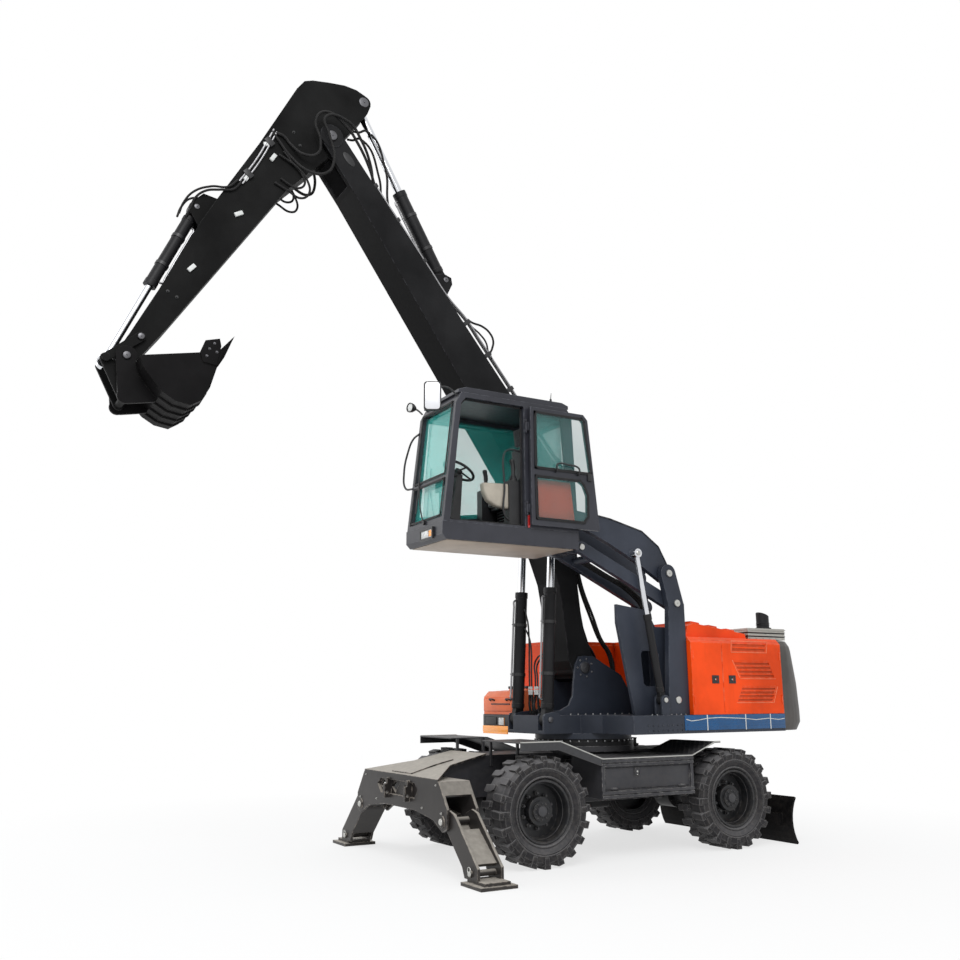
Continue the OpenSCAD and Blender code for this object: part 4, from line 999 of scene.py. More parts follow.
@dataclass
class Chassis:
    """Trim of the undercarriage."""

    site: Site
    box_y: float = 1.256
    box_x: Pair = (-0.74, 0.63)
    fender_line: tuple[Pair, ...] = ((1.728, 1.352), (1.20, 1.352), (0.618, 1.142), (-0.728, 1.142),
                                     (-1.102, 1.292), (-1.188, 1.292))
    slew_circle: float = 0.622
    axle_circle: float = 0.165
    axle_x: Pair = (1.39, -1.43)
    leg_pin: Point = (2.636, 1.10, 0.56)
    foot_pin: Point = (2.602, 1.66, 0.12)
    edge_bolts: int = 14

    def build(self) -> None:
        """Adds panels, bolts, edges, shafts and pin caps."""
        self.side_panels()
        self.fender_edges()
        self.slew_bolts()
        self.shafts()
        self.outrigger_caps()
        self.blade_edge()

    def side_panels(self) -> None:
        """Panel, latch and hinges of the two side boxes."""
        p = self.site.p
        doors, iron = Shape(), Shape()
        for s in SIDES:
            y0, y1 = sorted((s * (self.box_y - 0.041), s * (self.box_y - 0.030)))
            doors.block(p(self.box_x[0] + 0.055, y0, 0.795), p(self.box_x[1] - 0.055, y1, 1.035), 0.006)
            ya, yb = sorted((s * (self.box_y - 0.023), s * (self.box_y - 0.012)))
            doors.block(p(0.085, ya, 0.935), p(0.150, yb, 1.025), 0.010, 3)
            iron.turned(p(0.117, s * (self.box_y - 0.012), 0.985), (0, s, 0),
                        [(0.0, 0.006), (0.010, 0.005), (0.013, 0.0), (0.013, -0.004)], 16)
            iron.nut(p(0.117, s * (self.box_y - 0.012), 0.950), (0, s, 0), 0.008, 0.006)
            for x in (self.box_x[0] + 0.18, self.box_x[1] - 0.18):
                doors.rod(p(x - 0.05, s * (self.box_y - 0.026), 0.800),
                          p(x + 0.05, s * (self.box_y - 0.026), 0.800), 0.010)
        doors.piece("side_box_doors", "frame", "chassis", Slot.BLACK)
        iron.piece("side_box_keys", "zinc", "chassis", Slot.STEEL)

    def fender_edges(self) -> None:
        """Pale rubbing strips along the fenders."""
        p = self.site.p
        strip = Shape()
        for s in SIDES:
            y = s * (self.box_y - 0.004)
            strip.run([p(x, y, z) for x, z in self.fender_line], 0.008, 12)
        strip.piece("fender_edges", "zinc", "chassis", Slot.STEEL)

    def slew_bolts(self) -> None:
        """Bolt circle of the slewing ring."""
        p = self.site.p
        ring = Shape()
        for x, y in circle(36, self.slew_circle):
            ring.nut(p(x, y, 1.299), UP, 0.018, 0.02)
        ring.piece("slew_bolts", "steel", "chassis", Slot.STEEL)

    def shafts(self) -> None:
        """Transfer case, drive shafts and their joints under the frame."""
        p = self.site.p
        s = Shape()
        s.block(p(-0.28, -0.16, 0.47), p(0.02, 0.16, 0.70), 0.03, 3)
        for a, b in ((0.04, 1.17), (-0.30, -1.21)):
            s.rod(p(a, 0, 0.58), p(b, 0, 0.60), 0.045, segments=24)
            for x in (a, b):
                s.rod(p(x - 0.05, 0, 0.59), p(x + 0.05, 0, 0.59), 0.075, segments=24, bevel=0.01)
        for x in self.axle_x:
            for a, b in circle(10, self.axle_circle):
                for side in SIDES:
                    s.nut(p(x + a, side * 0.150, 0.6 + b), (0, side, 0), 0.016, 0.014)
        s.piece("drive_shafts", "charcoal", "chassis", Slot.BLACK)

    def outrigger_caps(self) -> None:
        """Bright pin ends, keeper plates and bolts on the outrigger beam and its legs."""
        p = self.site.p
        caps = Shape()
        for s in SIDES:
            x, y, z = self.leg_pin
            caps.turned(p(x, s * y, z), AHEAD, [(0.0, 0.016), (0.028, 0.014), (0.036, 0.004),
                                                (0.036, -0.002)], 24)
            caps.nut(p(x - 0.006, s * y, z + 0.085), AHEAD, 0.016, 0.014)
            caps.nut(p(x - 0.016, s * 0.95, 0.92), AHEAD, 0.014, 0.012)
            caps.nut(p(x - 0.016, s * 0.62, 0.66), AHEAD, 0.014, 0.012)
        caps.piece("outrigger_pin_caps", "zinc", "chassis", Slot.STEEL)
        for s, body in ((1, "leg_left"), (-1, "leg_right")):
            foot = Shape()
            x, y, z = self.foot_pin
            foot.turned(p(x, s * y, z), AHEAD, [(0.0, 0.012), (0.022, 0.010), (0.030, 0.0), (0.030, -0.01)],
                        20)
            foot.ring(p(x + 0.004, s * y, z + 0.035), AHEAD, 0.030, 0.005, 20, 6)
            foot.piece("foot_pin_" + body, "zinc", body, Slot.STEEL)

    def blade_edge(self) -> None:
        """Bolts of the cutting edge along the blade's foot."""
        low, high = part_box("blade")
        s = Shape()
        inset = 0.12
        for k in range(self.edge_bolts):
            y = low.y + inset + (high.y - low.y - 2 * inset) * k / (self.edge_bolts - 1)
            s.nut((low.x + 0.040, y, 0.085), (-1, 0, 0.25), 0.020, 0.016)
        s.piece("blade_bolts", "steel", "blade", Slot.STEEL)


@dataclass
class Upper:
    """Trim of the upper structure: hoods, deck, boxes and counterweight."""

    site: Site
    side_y: float = 1.268
    deck_top: float = 1.62
    hood_top: float = 2.575
    hood_front: float = -0.775
    hood_back: float = -2.316
    latch_x: Pair = (-1.155, -1.437)
    # Share of a louvre's pitch where its slot starts and ends.
    slot: Pair = (0.02, 0.53)
    # Near and far end at the panel's low and high edge, then those edges and the number of slots.
    louvres: tuple = (((0.690, 0.700), (1.270, 1.290), (0.790, 0.900), 2),
                      ((0.820, 0.700), (1.400, 1.310), (0.460, 0.665), 4),
                      ((0.740, 0.840), (1.350, 1.425), (0.160, 0.345), 4))
    lips: tuple = (((0.670, 0.772), (0.680, 0.914), (1.308, 0.914), (1.288, 0.772), (0.670, 0.772)),
                   ((0.680, 0.672), (0.800, 0.440), (1.425, 0.440)),
                   ((0.720, 0.140), (1.368, 0.140), (1.448, 0.340)))
    cord_line: tuple[Pair, ...] = ((-0.64, 1.570), (-0.72, 1.548), (-0.84, 1.556), (-0.97, 1.575),
                                   (-1.20, 1.583), (-1.60, 1.566), (-1.80, 1.548), (-2.02, 1.562),
                                   (-2.20, 1.545), (-2.30, 1.556))
    lines_x: float = 0.665
    lines_y: tuple[float, ...] = (-0.225, -0.175, -0.085, -0.035)
    boom_pin: Point = (0.149, 0.293, 2.208)
    muffler_x: Pair = (-2.596, -1.926)
    muffler_y: Pair = (0.678, 1.098)

    def build(self) -> None:
        """Adds latches, louvres, film, bolts, lines, lamps and bands."""
        self.hood_iron()
        self.louvre_backs()
        self.sill()
        self.deck_bolts()
        self.manifold()
        self.front_box()
        self.stack()
        self.tail()

    def hood_iron(self) -> None:
        """Latches, keys and hinges of the hood doors."""
        p = self.site.p
        dark, keys, hinges = Shape(), Shape(), Shape()
        for x in self.latch_x:
            y = self.side_y + 0.001
            rim = [p(x + a * 0.056, y, z) for a, z in ((-1, 2.0), (1, 2.0), (1, 2.1), (-1, 2.1))]
            dark.frame(rim, (0, 0.006, 0), 0.028)
            dark.block(p(x - 0.020, self.side_y - 0.011, 2.024), p(x + 0.020, y, 2.076), 0.003)
            keys.rod(p(x, self.side_y, 2.05), p(x, self.side_y + 0.006, 2.05), 0.010)
        for s, xs in ((1, (-0.80, -2.29)), (-1, (-1.26, -2.29, -0.74, 0.18))):
            for x in xs:
                for z in (1.80, 2.35):
                    y = s * (self.side_y + 0.004)
                    hinges.rod(p(x, y, z - 0.05), p(x, y, z + 0.05), 0.009)
        for x in (-1.40, -0.62):
            dark.block(p(x - 0.03, -self.side_y - 0.007, 2.01), p(x + 0.03, -self.side_y + 0.002, 2.09),
                       0.004)
        hinges.piece("hood_hinges", "orange", "upper", Slot.ORANGE)
        dark.piece("hood_latches", "black", "upper", Slot.BLACK)
        keys.piece("hood_keys", "zinc", "upper", Slot.STEEL)

    def louvre_backs(self) -> None:
        """Dark plates that paint the shade in the slots of the louvre panels of both hoods, and lips whose
        lighter orange paints highlights.
        """
        p, front = self.site.p, self.hood_front
        backs, lips = Shape(), Shape()
        # Painted shade: a darker plate over the lower part of each slot.
        for near, far, (low, high), rows in self.louvres:
            for k in range(rows):
                ends = []
                for share in ((k + part) / rows for part in self.slot):
                    z = self.deck_top + low + (high - low) * share
                    ends.append((near[0] + (near[1] - near[0]) * share + 0.004,
                                 far[0] + (far[1] - far[0]) * share - 0.004, z))
                (a, b, z0), (c, d, z1) = ends
                for side in SIDES:
                    y = side * (self.side_y - 0.0155)
                    backs.plate([p(front - x, y, z) for x, z in ((a, z0), (b, z0), (d, z1), (c, z1))],
                                (0, side * 0.002, 0))
        backs.piece("hood_louvre_painted_shade", "shade", "upper", Slot.ORANGE)
        # Painted highlight: lips in the lighter sheen orange along the panels' edges.
        for line in self.lips:
            for side in SIDES:
                lips.run([p(front - x, side * (self.side_y + 0.0005), self.deck_top + z) for x, z in line],
                         0.005)
        lips.piece("hood_louvre_highlight_lips", "sheen", "upper", Slot.ORANGE)

    def sill(self) -> None:
        """Blue protective film with pale ties on the left deck edge."""
        p = self.site.p
        film, ties = Shape(), Shape()
        y = self.side_y
        film.block(p(self.hood_back, y - 0.002, 1.435), p(-0.62, y + 0.007, 1.615), 0.003)
        for k in range(7):
            z = 1.45 + 0.022 * k
            film.rod(p(self.hood_back + 0.02, y + 0.005, z + 0.01 * math.sin(k * 2.1)),
                     p(-0.64, y + 0.005, z + 0.012 * math.cos(k * 1.7)), 0.004, segments=8)
        film.piece("sill_film", "blue", "upper", Slot.GREY)
        ties.run([p(x, y + 0.007, z) for x, z in self.cord_line], 0.0055)
        for x in (-0.98, -1.62, -2.05):
            ties.block(p(x - 0.007, y + 0.001, 1.43), p(x + 0.007, y + 0.012, 1.618), 0.002)
        ties.piece("sill_ties", "white", "upper", Slot.TRIM)

    def deck_bolts(self) -> None:
        """Bolts of the deck's edge, the boom bracket's foot and pin, and the tower's foot."""
        p = self.site.p
        s, edge = Shape(), Shape()
        for k in range(9):
            for z in (1.50, 1.44):
                edge.nut(p(-0.06 - 0.075 * k, self.side_y - 0.001, z), LEFT, 0.012, 0.010)
        edge.piece("deck_edge_bolts", "deck", "upper", Slot.STEEL)
        for side in SIDES:
            for k in range(10):
                s.nut(p(-0.62 + 0.115 * k, side * 0.33, self.deck_top), UP, 0.018, 0.018)
            x, y, z = self.boom_pin
            for a, b in circle(7, 0.115):
                s.nut(p(x + a, side * y, z + b), (0, side, 0), 0.016, 0.012)
        for k in range(8):
            s.nut(p(-0.70 + 0.075 * k, 1.205, self.deck_top), UP, 0.014, 0.014)
        s.piece("deck_bolts", "steel", "upper", Slot.STEEL)

    def manifold(self) -> None:
        """Supply tubes of the boom cylinders, with pale fittings, and the hoses down to the deck."""
        p = self.site.p
        tubes, pale = Shape(), Shape()
        x = self.lines_x
        ports = ((-0.275, 2.95), (-0.270, 2.70), (0.272, 2.40), (0.275, 2.36))
        for y, (out, high) in zip(self.lines_y, ports):
            s = 1 if out > 0 else -1
            tubes.hose([p(x + 0.040, out + s * 0.012, high + 0.03), p(x + 0.035, out - s * 0.03, high),
                        p(x + 0.025, y + 0.3 * (out - y), high - 0.06), p(x + 0.010, y, high - 0.16),
                        p(x, y, 2.1), p(x, y, 1.95)], 0.011)
            for z, r, sides in ((1.955, 0.017, 16), (1.915, 0.021, 6), (1.885, 0.017, 16)):
                pale.rod(p(x, y, z - 0.012), p(x, y, z + 0.022), r, segments=sides)
        tubes.piece("cylinder_tubes", "black", "boom_barrels", Slot.BLACK)
        pale.piece("tube_fittings", "white", "boom_barrels", Slot.TRIM)
        for k, y in enumerate(self.lines_y):
            hose = Shape()
            lean = 0.02 * math.sin(2.3 * k)
            hose.hose([p(x, y, 1.875), p(0.668, y + lean, 1.80), p(0.68 - lean, y + 0.02, 1.72),
                       p(0.66, y + 0.03, 1.615)], 0.016)
            obj = hose.piece(f"deck_hose_{k}", "hose", None, Slot.BLACK)
            tuple(p(0.66, 0.0, 1.66))
            tuple(p(x, 0.0, 1.86))
            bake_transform(obj)

    def front_box(self) -> None:
        """Lid, handles, lamp and bands of the box at the front right."""
        p = self.site.p
        lid, grips, band, lamp, amber = (Shape() for _ in range(5))
        y0, y1 = -1.24, -0.48
        lid.plate([p(0.775, y0, 1.66), p(0.775, y1, 1.66), p(0.775, y1, 1.83), p(0.775, y0, 1.83)],
                  (-0.02, 0, 0), 0.008)
        lid.plate([p(0.752, y0, 1.856), p(0.752, y1, 1.856), p(0.694, y1, 1.926), p(0.694, y0, 1.926)],
                  (-0.02, 0, -0.016), 0.006)
        # The lid takes the lighter sheen orange that paints the light on the box's front.
        lid.piece("front_box_lid", "sheen", "upper", Slot.ORANGE)
        for y in (-0.99, -0.56):
            grips.hose([p(0.772, y - 0.05, 1.80), p(0.800, y - 0.045, 1.815), p(0.806, y, 1.82),
                        p(0.800, y + 0.045, 1.815), p(0.772, y + 0.05, 1.80)], 0.011)
        for y in (-1.01, -0.61):
            grips.block(p(0.46, y - 0.03, 1.955), p(0.50, y + 0.05, 1.99), 0.006)
        grips.rod(p(0.777, -1.02, 1.755), p(0.777, -0.54, 1.755), 0.009, segments=8)
        grips.piece("front_box_handles", "black", "upper", Slot.BLACK)
        band.block(p(0.757, -1.262, 1.462), p(0.768, -0.44, 1.615), 0.004)
        band.block(p(0.766, -1.20, 1.485), p(0.776, -0.90, 1.590), 0.010, 3)
        band.piece("front_band", "black", "upper", Slot.BLACK)
        lamp.block(p(0.766, -0.83, 1.482), p(0.782, -0.70, 1.578), 0.006)
        lamp.piece("front_box_lamps", "lamp", "upper", Slot.LAMP)
        # The amber band glows a little: painted light.
        amber.block(p(0.760, -1.262, 1.392), p(0.779, -0.44, 1.472), 0.006)
        amber.piece("front_amber_band", "amber", "upper", Slot.AMBER)

    def stack(self) -> None:
        """Clamp bands of the exhaust, and lips, gaps and bolts of the muffler's box."""
        p = self.site.p
        x, y, z = self.hood_back - 0.010, self.side_y - 0.290, self.hood_top + 0.150
        s = Shape()
        for dz in (0.055, 0.075):
            s.ring(p(x, y, z + dz), UP, 0.085, 0.005, 36, 8)
        s.nut(p(x + 0.09, y, z + 0.065), AHEAD, 0.014, 0.018)
        for a, b in circle(6, 0.104):
            s.nut(p(x + a, y + b, z - 0.002), UP, 0.012, 0.016)
        s.piece("exhaust_bands", "charcoal", "upper", Slot.BLACK)
        sheet, gaps = Shape(), Shape()
        (x0, x1), (y0, y1) = self.muffler_x, self.muffler_y
        for z in (self.hood_top + 0.050, self.hood_top + 0.096):
            for shape, out, low, high, bevel in ((sheet, 0.006, z, z + 0.012, 0.002),
                                                 (gaps, 0.0015, z - 0.016, z + 0.001, 0.001)):
                shape.block(p(x0 - out, y0 - out, low), p(x1 + out, y1 + out, high), bevel)
        gaps.piece("muffler_gaps", "charcoal", "upper", Slot.BLACK)
        for k in range(6):
            sheet.nut(p(x0 + 0.04 + 0.12 * k, y1, self.hood_top + 0.018), LEFT, 0.010, 0.008)
        sheet.piece("muffler_straps", "silver", "upper", Slot.STEEL)

    def tail(self) -> None:
        """Lamps, plugs and bolts of the counterweight, and the cap of the tank."""
        p = self.site.p
        lamps, iron = Shape(), Shape()
        for s in SIDES:
            lamps.block(p(-2.946, s * 0.62 - 0.08, 1.76), p(-2.880, s * 0.62 + 0.08, 1.84), 0.012, 3)
            iron.turned(p(-2.50, s * 0.30, self.hood_top - 0.021), UP,
                        [(0.0, 0.006), (0.03, 0.005), (0.036, 0.0), (0.036, -0.01)], 24)
            for z in (1.74, 1.82):
                iron.nut(p(-2.985, s * 0.14, z), (-1, 0, 0), 0.030, 0.022)
        lamps.piece("tail_lamps", "red", "upper", Slot.AMBER)
        iron.turned(p(-0.36, -0.90, self.hood_top + 0.05), UP,
                    [(0.0, 0.035), (0.05, 0.034), (0.062, 0.026), (0.062, -0.004)], 28)
        iron.piece("tank_cap", "steel", "upper", Slot.STEEL)


@dataclass
class BoomGroup:
    """Pipes, clamps, hoses and pin caps of the boom, the stick and the bucket."""

    site: Site
    # Distance along the pin line and height over it.
    back_line: tuple[Pair, ...] = ((0.0, 0.20), (0.217, 0.235), (0.631, 0.334), (0.98, 0.48), (2.218, 1.022),
                                   (3.692, 0.774), (6.961, 0.222), (7.4, 0.15))
    rod_pin: Pair = (2.106, 0.621)
    stick_foot: Pair = (5.295, 0.739)
    stick_ear: Pair = (-0.80, 0.0)
    bucket_foot: Pair = (1.95, 0.56)
    bucket_ear: Pair = (4.097, 0.144)
    # Place about the slew axis.
    barrel_foot: Pair = (0.78, 1.57)
    # Knots of the pipes and places of their clamps along the boom.
    pipe_u: tuple[float, ...] = (2.35, 3.0, 3.7, 4.4, 4.7, 5.05, 5.5, 6.0, 6.75)
    clamp_u: tuple[float, ...] = (2.5, 3.1, 3.64, 4.17, 4.66, 5.6, 6.2, 6.7)
    # The pipes' height off the boom's back, its least, and where and how fast it sinks.
    stand: float = 0.10
    stand_least: float = 0.045
    sink_from: float = 4.7
    sink: float = 0.18

    def build(self) -> None:
        """Adds the lines, the pins and the bucket's iron."""
        self.boom_pipes()
        self.stick_lines()
        self.joint_hoses()
        self.foot_hoses()
        self.pins()
        self.barrel_lines()
        self.bucket_iron()

    def back(self, u: float) -> float:
        """Height of the boom's back over its pin line.

        Args:
            u: distance along the pin line.
        Returns:
            The height.
        """
        for a, b in zip(self.back_line, self.back_line[1:]):
            if u <= b[0]:
                return a[1] + (b[1] - a[1]) * (u - a[0]) / (b[0] - a[0])
        return self.back_line[-1][1]

    def standoff(self, u: float) -> float:
        """How far the pipes stand off the boom's back."""
        sunk = self.sink * max(0.0, u - self.sink_from)
        return max(self.stand_least, self.stand - sunk)

    def boom_pipes(self) -> None:
        """Steel pipes along the boom's back, with clamps, and two hose loops between their parts."""
        at = self.site.boom.at
        pipes, clamps, loop = Shape(), Shape(), Shape()
        for y in (-0.205, -0.165, 0.165, 0.205):
            pipes.hose([at(u, self.back(u) + self.standoff(u), y) for u in self.pipe_u], 0.014)
        for u in self.clamp_u:
            v, tall = self.back(u), self.standoff(u) + 0.023
            along = at(u + 0.1, self.back(u + 0.1), 0) - at(u, v, 0)
            turn = (Matrix.Rotation(-math.atan2(along.z, along.x), 4, "Y")
                    @ Matrix.Diagonal((0.055, 0.10, tall, 1)))
            for s in SIDES:
                clamps.cube(Matrix.Translation(at(u, v + tall / 2 - 0.004, s * 0.185)) @ turn, 0.006)
                clamps.nut(at(u, v + tall - 0.006, s * 0.185), at(u, v + 1, 0) - at(u, v, 0), 0.014, 0.012)
        tall_loop = ((4.70, 0.715, 0.205), (4.64, 0.76, 0.205), (4.54, 0.88, 0.21), (4.42, 0.945, 0.21),
                     (4.31, 0.94, 0.21), (4.22, 0.87, 0.205), (4.17, 0.81, 0.205), (4.10, 0.80, 0.205))
        flat_loop = ((4.70, 0.715, 0.165), (4.60, 0.75, 0.17), (4.46, 0.815, 0.18), (4.33, 0.845, 0.18),
                     (4.23, 0.825, 0.17), (4.16, 0.80, 0.165), (4.10, 0.80, 0.165))
        for s in SIDES:
            for route, radius in ((tall_loop, 0.014), (flat_loop, 0.012)):
                loop.hose([at(u, v, s * y) for u, v, y in route], radius)
        pipes.piece("boom_pipes", "steel", "boom", Slot.STEEL)
        clamps.piece("boom_clamps", "black", "boom", Slot.BLACK)
        loop.piece("boom_loops", "hose", "boom", Slot.BLACK)

    def stick_lines(self) -> None:
        """Pipes, clamps and pale tags on the stick's sides, and the hoses that stay on the stick."""
        at = self.site.stick.at
        pipes, clamps, pale, hose = Shape(), Shape(), Shape(), Shape()
        for s in SIDES:
            for dv in (0.0, 0.045):
                pipes.hose([at(u, v + dv, s * 0.19)
                            for u, v in ((0.48, 0.50), (0.62, 0.47), (1.0, 0.40), (1.36, 0.37))], 0.013)
            for u, v in ((0.66, 0.48), (1.20, 0.40)):
                self.chip(clamps, at(u, v, s * 0.19), 50, (0.075, 0.045, 0.12))
            for u, v, turn in ((0.696, 0.479, 20), (0.785, 0.327, 60), (1.242, 0.384, 60), (1.693, 0.170, 30),
                               (2.632, 0.136, 50)):
                self.chip(pale, at(u, v, s * 0.186), turn, (0.105, 0.03, 0.05))
            for u, v in ((3.039, 0.150), (3.023, 0.037), (0.30, 0.36), (0.38, 0.20)):
                clamps.nut(at(u, v, s * 0.174), (0, s, 0), 0.024, 0.02)
            for route in (((0.62, 0.29, 0.195), (0.66, 0.10, 0.195), (0.70, -0.06, 0.21), (0.78, -0.15, 0.21),
                           (0.88, -0.12, 0.20), (0.92, -0.02, 0.195), (0.94, 0.10, 0.195)),
                          ((0.70, 0.30, 0.195), (0.67, 0.06, 0.215), (0.72, -0.14, 0.23), (0.84, -0.26, 0.22),
                           (0.95, -0.23, 0.20), (1.00, -0.05, 0.195), (1.04, 0.12, 0.195))):
                hose.hose([at(u, v, s * y) for u, v, y in route], 0.014)
        pipes.piece("stick_pipes", "steel", "stick", Slot.STEEL)
        clamps.piece("stick_clamps", "black", "stick", Slot.BLACK)
        pale.piece("stick_tags", "white", "stick", Slot.TRIM)
        hose.piece("stick_hoses", "hose", "stick", Slot.BLACK)
        self.bucket_hoses()

    def bucket_hoses(self) -> None:
        """Hoses from the stick's pipes to the bucket cylinder."""
        at = self.site.stick.at
        low = ((1.36, 0.39, 0.195), (1.50, 0.40, 0.195), (1.62, 0.50, 0.19), (1.74, 0.61, 0.15),
               (1.88, 0.640, 0.115), (2.02, 0.60, 0.10), (2.12, 0.575, 0.07))
        high = ((1.36, 0.435, 0.195), (1.52, 0.46, 0.195), (1.66, 0.60, 0.17), (1.82, 0.70, 0.10),
                (2.00, 0.70, 0.07), (2.14, 0.655, 0.045))
        for s, tag in HANDS:
            for name, route, radius in (("low", low, 0.014), ("high", high, 0.013)):
                hose = Shape().hose([at(u, v, s * y) for u, v, y in route], radius)
                obj = hose.piece(f"bucket_hose_{tag}_{name}", "hose", None, Slot.BLACK)
                tuple(at(1.62, 0.55, 0.0))
                tuple(at(1.96, 0.62, 0.0))
                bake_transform(obj)

    def chip(self, shape: Shape, at: Vector, turn: float, size: Point) -> None:
        """Adds a small block turned in the side view.

        Args:
            shape: the shape that it joins.
            at: its middle.
            turn: angle in degrees.
            size: lengths along, across and up before it is turned.
        """
        place = Matrix.Translation(at) @ Matrix.Rotation(math.radians(turn), 4, "Y")
        shape.cube(place @ Matrix.Diagonal((*size, 1)), 0.005)

    def joint_hoses(self) -> None:
        """Hose loops that cross from the boom to the stick."""
        boom, stick = self.site.boom.at, self.site.stick.at
        first = (((6.72, 0.30, 0.205), (6.95, 0.31, 0.25), (7.25, 0.28, 0.295), (7.50, 0.22, 0.31)),
                 ((-0.16, 0.25, 0.31), (0.03, 0.26, 0.31), (0.23, 0.04, 0.31), (0.38, -0.02, 0.30),
                  (0.49, 0.10, 0.25), (0.48, 0.28, 0.20), (0.46, 0.42, 0.195), (0.50, 0.50, 0.19)))
        second = (((6.72, 0.30, 0.165), (6.98, 0.36, 0.23), (7.30, 0.33, 0.32), (7.52, 0.27, 0.34)),
                  ((-0.08, 0.20, 0.345), (0.08, 0.02, 0.345), (0.31, -0.22, 0.34), (0.50, -0.25, 0.31),
                   (0.62, -0.08, 0.25), (0.61, 0.20, 0.20), (0.56, 0.40, 0.195), (0.52, 0.545, 0.19)))
        for s, tag in HANDS:
            for k, (on_boom, on_stick) in enumerate((first, second)):
                route = ([boom(u, v, s * y) for u, v, y in on_boom]
                         + [stick(u, v, s * y) for u, v, y in on_stick])
                hose = Shape().hose(route, 0.018, 3, 12)
                obj = hose.piece(f"joint_hose_{tag}_{k}", "hose", None, Slot.BLACK)
                tuple(boom(7.25, 0.28, 0.0))
                tuple(stick(0.38, -0.02, 0.0))
                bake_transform(obj)
        for k, y in enumerate((0.105, -0.105)):
            hose = Shape().hose([boom(6.3, 0.38, y), boom(6.5, 0.44, y), boom(6.9, 0.62, y),
                                 stick(-0.55, -0.26, y), stick(-0.45, -0.20, y), stick(-0.40, -0.145, y)],
                                0.015, 3, 12)
            obj = hose.piece(f"crown_hose_{k}", "hose", None, Slot.BLACK)
            tuple(boom(6.5, 0.44, 0.0))
            tuple(stick(-0.50, -0.22, 0.0))
            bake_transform(obj)
        oval = Shape()
        for s in SIDES:
            ring = [boom(7.10 + 0.105 * a, 0.085 + 0.05 * b - 0.021 * a, s * 0.249)
                    for a, b in circle(20, 1.0)]
            oval.plate(ring, (0, s * 0.007, 0), 0.002)
        oval.piece("boom_covers", "black", "boom", Slot.BLACK)

    def foot_hoses(self) -> None:
        """Hose bundle from the deck to the boom's foot."""
        p, boom = self.site.p, self.site.boom.at
        for k, y in enumerate((-0.21, -0.16, 0.16, 0.21)):
            route = [p(-0.30, y, 1.66), p(-0.36, y, 1.95), p(-0.34, y, 2.35), p(-0.17, y, 2.60),
                     boom(0.45, 0.47 + 0.01 * k, y), boom(0.95, 0.56, y), boom(1.6, self.back(1.6) + 0.05, y),
                     boom(2.36, self.back(2.36) + 0.10, y)]
            hose = Shape().hose(route, 0.019, 3, 12)
            obj = hose.piece(f"foot_hose_{k}", "hose", None, Slot.BLACK)
            tuple(p(-0.34, 0.0, 2.25))
            tuple(boom(0.75, 0.52, 0.0))
            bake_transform(obj)

    def pins(self) -> None:
        """Turned caps with keeper bolts over the pins."""
        boom, stick, p = self.site.boom.at, self.site.stick.at, self.site.p
        disc = [(0.0, 0.014), (0.7, 0.013), (0.92, 0.009), (1.0, 0.0), (1.0, -0.006)]
        jobs: list[tuple[str, list[tuple[Vector, float]]]] = [
            ("upper", [(p(0.149, 0.298, 2.208), 0.075),
                       (p(self.barrel_foot[0], 0.424, self.barrel_foot[1]), 0.038)]),
            ("boom", [(boom(7.436, 0, 0.274), 0.066), (boom(*self.rod_pin, 0.389), 0.045),
                      (boom(*self.stick_foot, 0.112), 0.038)]),
            ("stick", [(stick(3.962, 0, 0.272), 0.043), (stick(3.672, 0.027, 0.222), 0.038),
                       (stick(*self.bucket_foot, 0.106), 0.034), (stick(*self.stick_ear, 0.175), 0.070)]),
        ]
        for body, places in jobs:
            s = Shape()
            for at, r in places:
                for side in SIDES:
                    here = Vector((at.x, side * at.y, at.z))
                    s.turned(here, (0, side, 0), [(a * r, h) for a, h in disc], 24)
                    s.nut(here + Vector((0, side * 0.013, 0)), (0, side, 0), r * 0.28, 0.012)
            s.piece(f"pin_caps_{body}", "pin", body, Slot.STEEL)

    def line_on(self, body: str, ends: tuple[Vector, Vector], radius: float, span: Pair, side: Vector,
                name: str) -> None:
        """A pipe along a barrel, with bands and end elbows.

        Args:
            body: the barrel's body.
            ends: its foot pin and its rod pin.
            radius: radius of the barrel.
            span: distances from the foot where the pipe starts and ends.
            side: direction from the barrel to the pipe.
            name: start of the pieces' names.
        """
        a, (start, end) = ends[0], span
        d, off = (ends[1] - a).normalized(), side.normalized()
        pipe, bands = Shape(), Shape()
        sunk, low, high = radius * 0.8, radius + 0.030, radius + 0.034
        pipe.hose([a + d * t + off * h for t, h in ((start, sunk), (start + 0.01, low), (start + 0.09, high),
                                                    ((start + end) / 2, high), (end - 0.09, high),
                                                    (end - 0.01, low), (end, sunk))], 0.013)
        pipe.piece(name + "_pipe", "steel", body, Slot.STEEL)
        under, over, half = radius + 0.001, radius + 0.008, 0.02
        for t in (start + 0.25 * (end - start), start + 0.75 * (end - start)):
            bands.turned(a + d * t, d, [(under, -half), (over, -half), (over, half), (under, half)], 32)
            bands.nut(a + d * t + off * (radius + 0.044), off, 0.012, 0.010)
        bands.piece(name + "_bands", "black", body, Slot.BLACK)

    def barrel_lines(self) -> None:
        """Pipes on the boom, stick and bucket cylinders."""
        boom, stick = self.site.boom.at, self.site.stick.at
        low, top = self.site.p(self.barrel_foot[0], 0, self.barrel_foot[1]), boom(*self.rod_pin, 0)
        for s, tag in HANDS:
            off = Vector((0, s * 0.345, 0))
            self.line_on("boom_barrels", (low + off, top + off), 0.078, (0.24, 1.52), Vector((1, 0, 0.05)),
                         f"boom_barrel_{tag}")
        for body, a, b, radius, span in (
                ("stick_barrel", boom(*self.stick_foot, 0), stick(*self.stick_ear, 0), 0.084, (0.25, 1.20)),
                ("bucket_barrel", stick(*self.bucket_foot, 0), stick(*self.bucket_ear, 0), 0.070,
                 (0.22, 1.03))):
            self.line_on(body, (a, b), radius, span, -(b - a).cross(Vector(LEFT)), body)

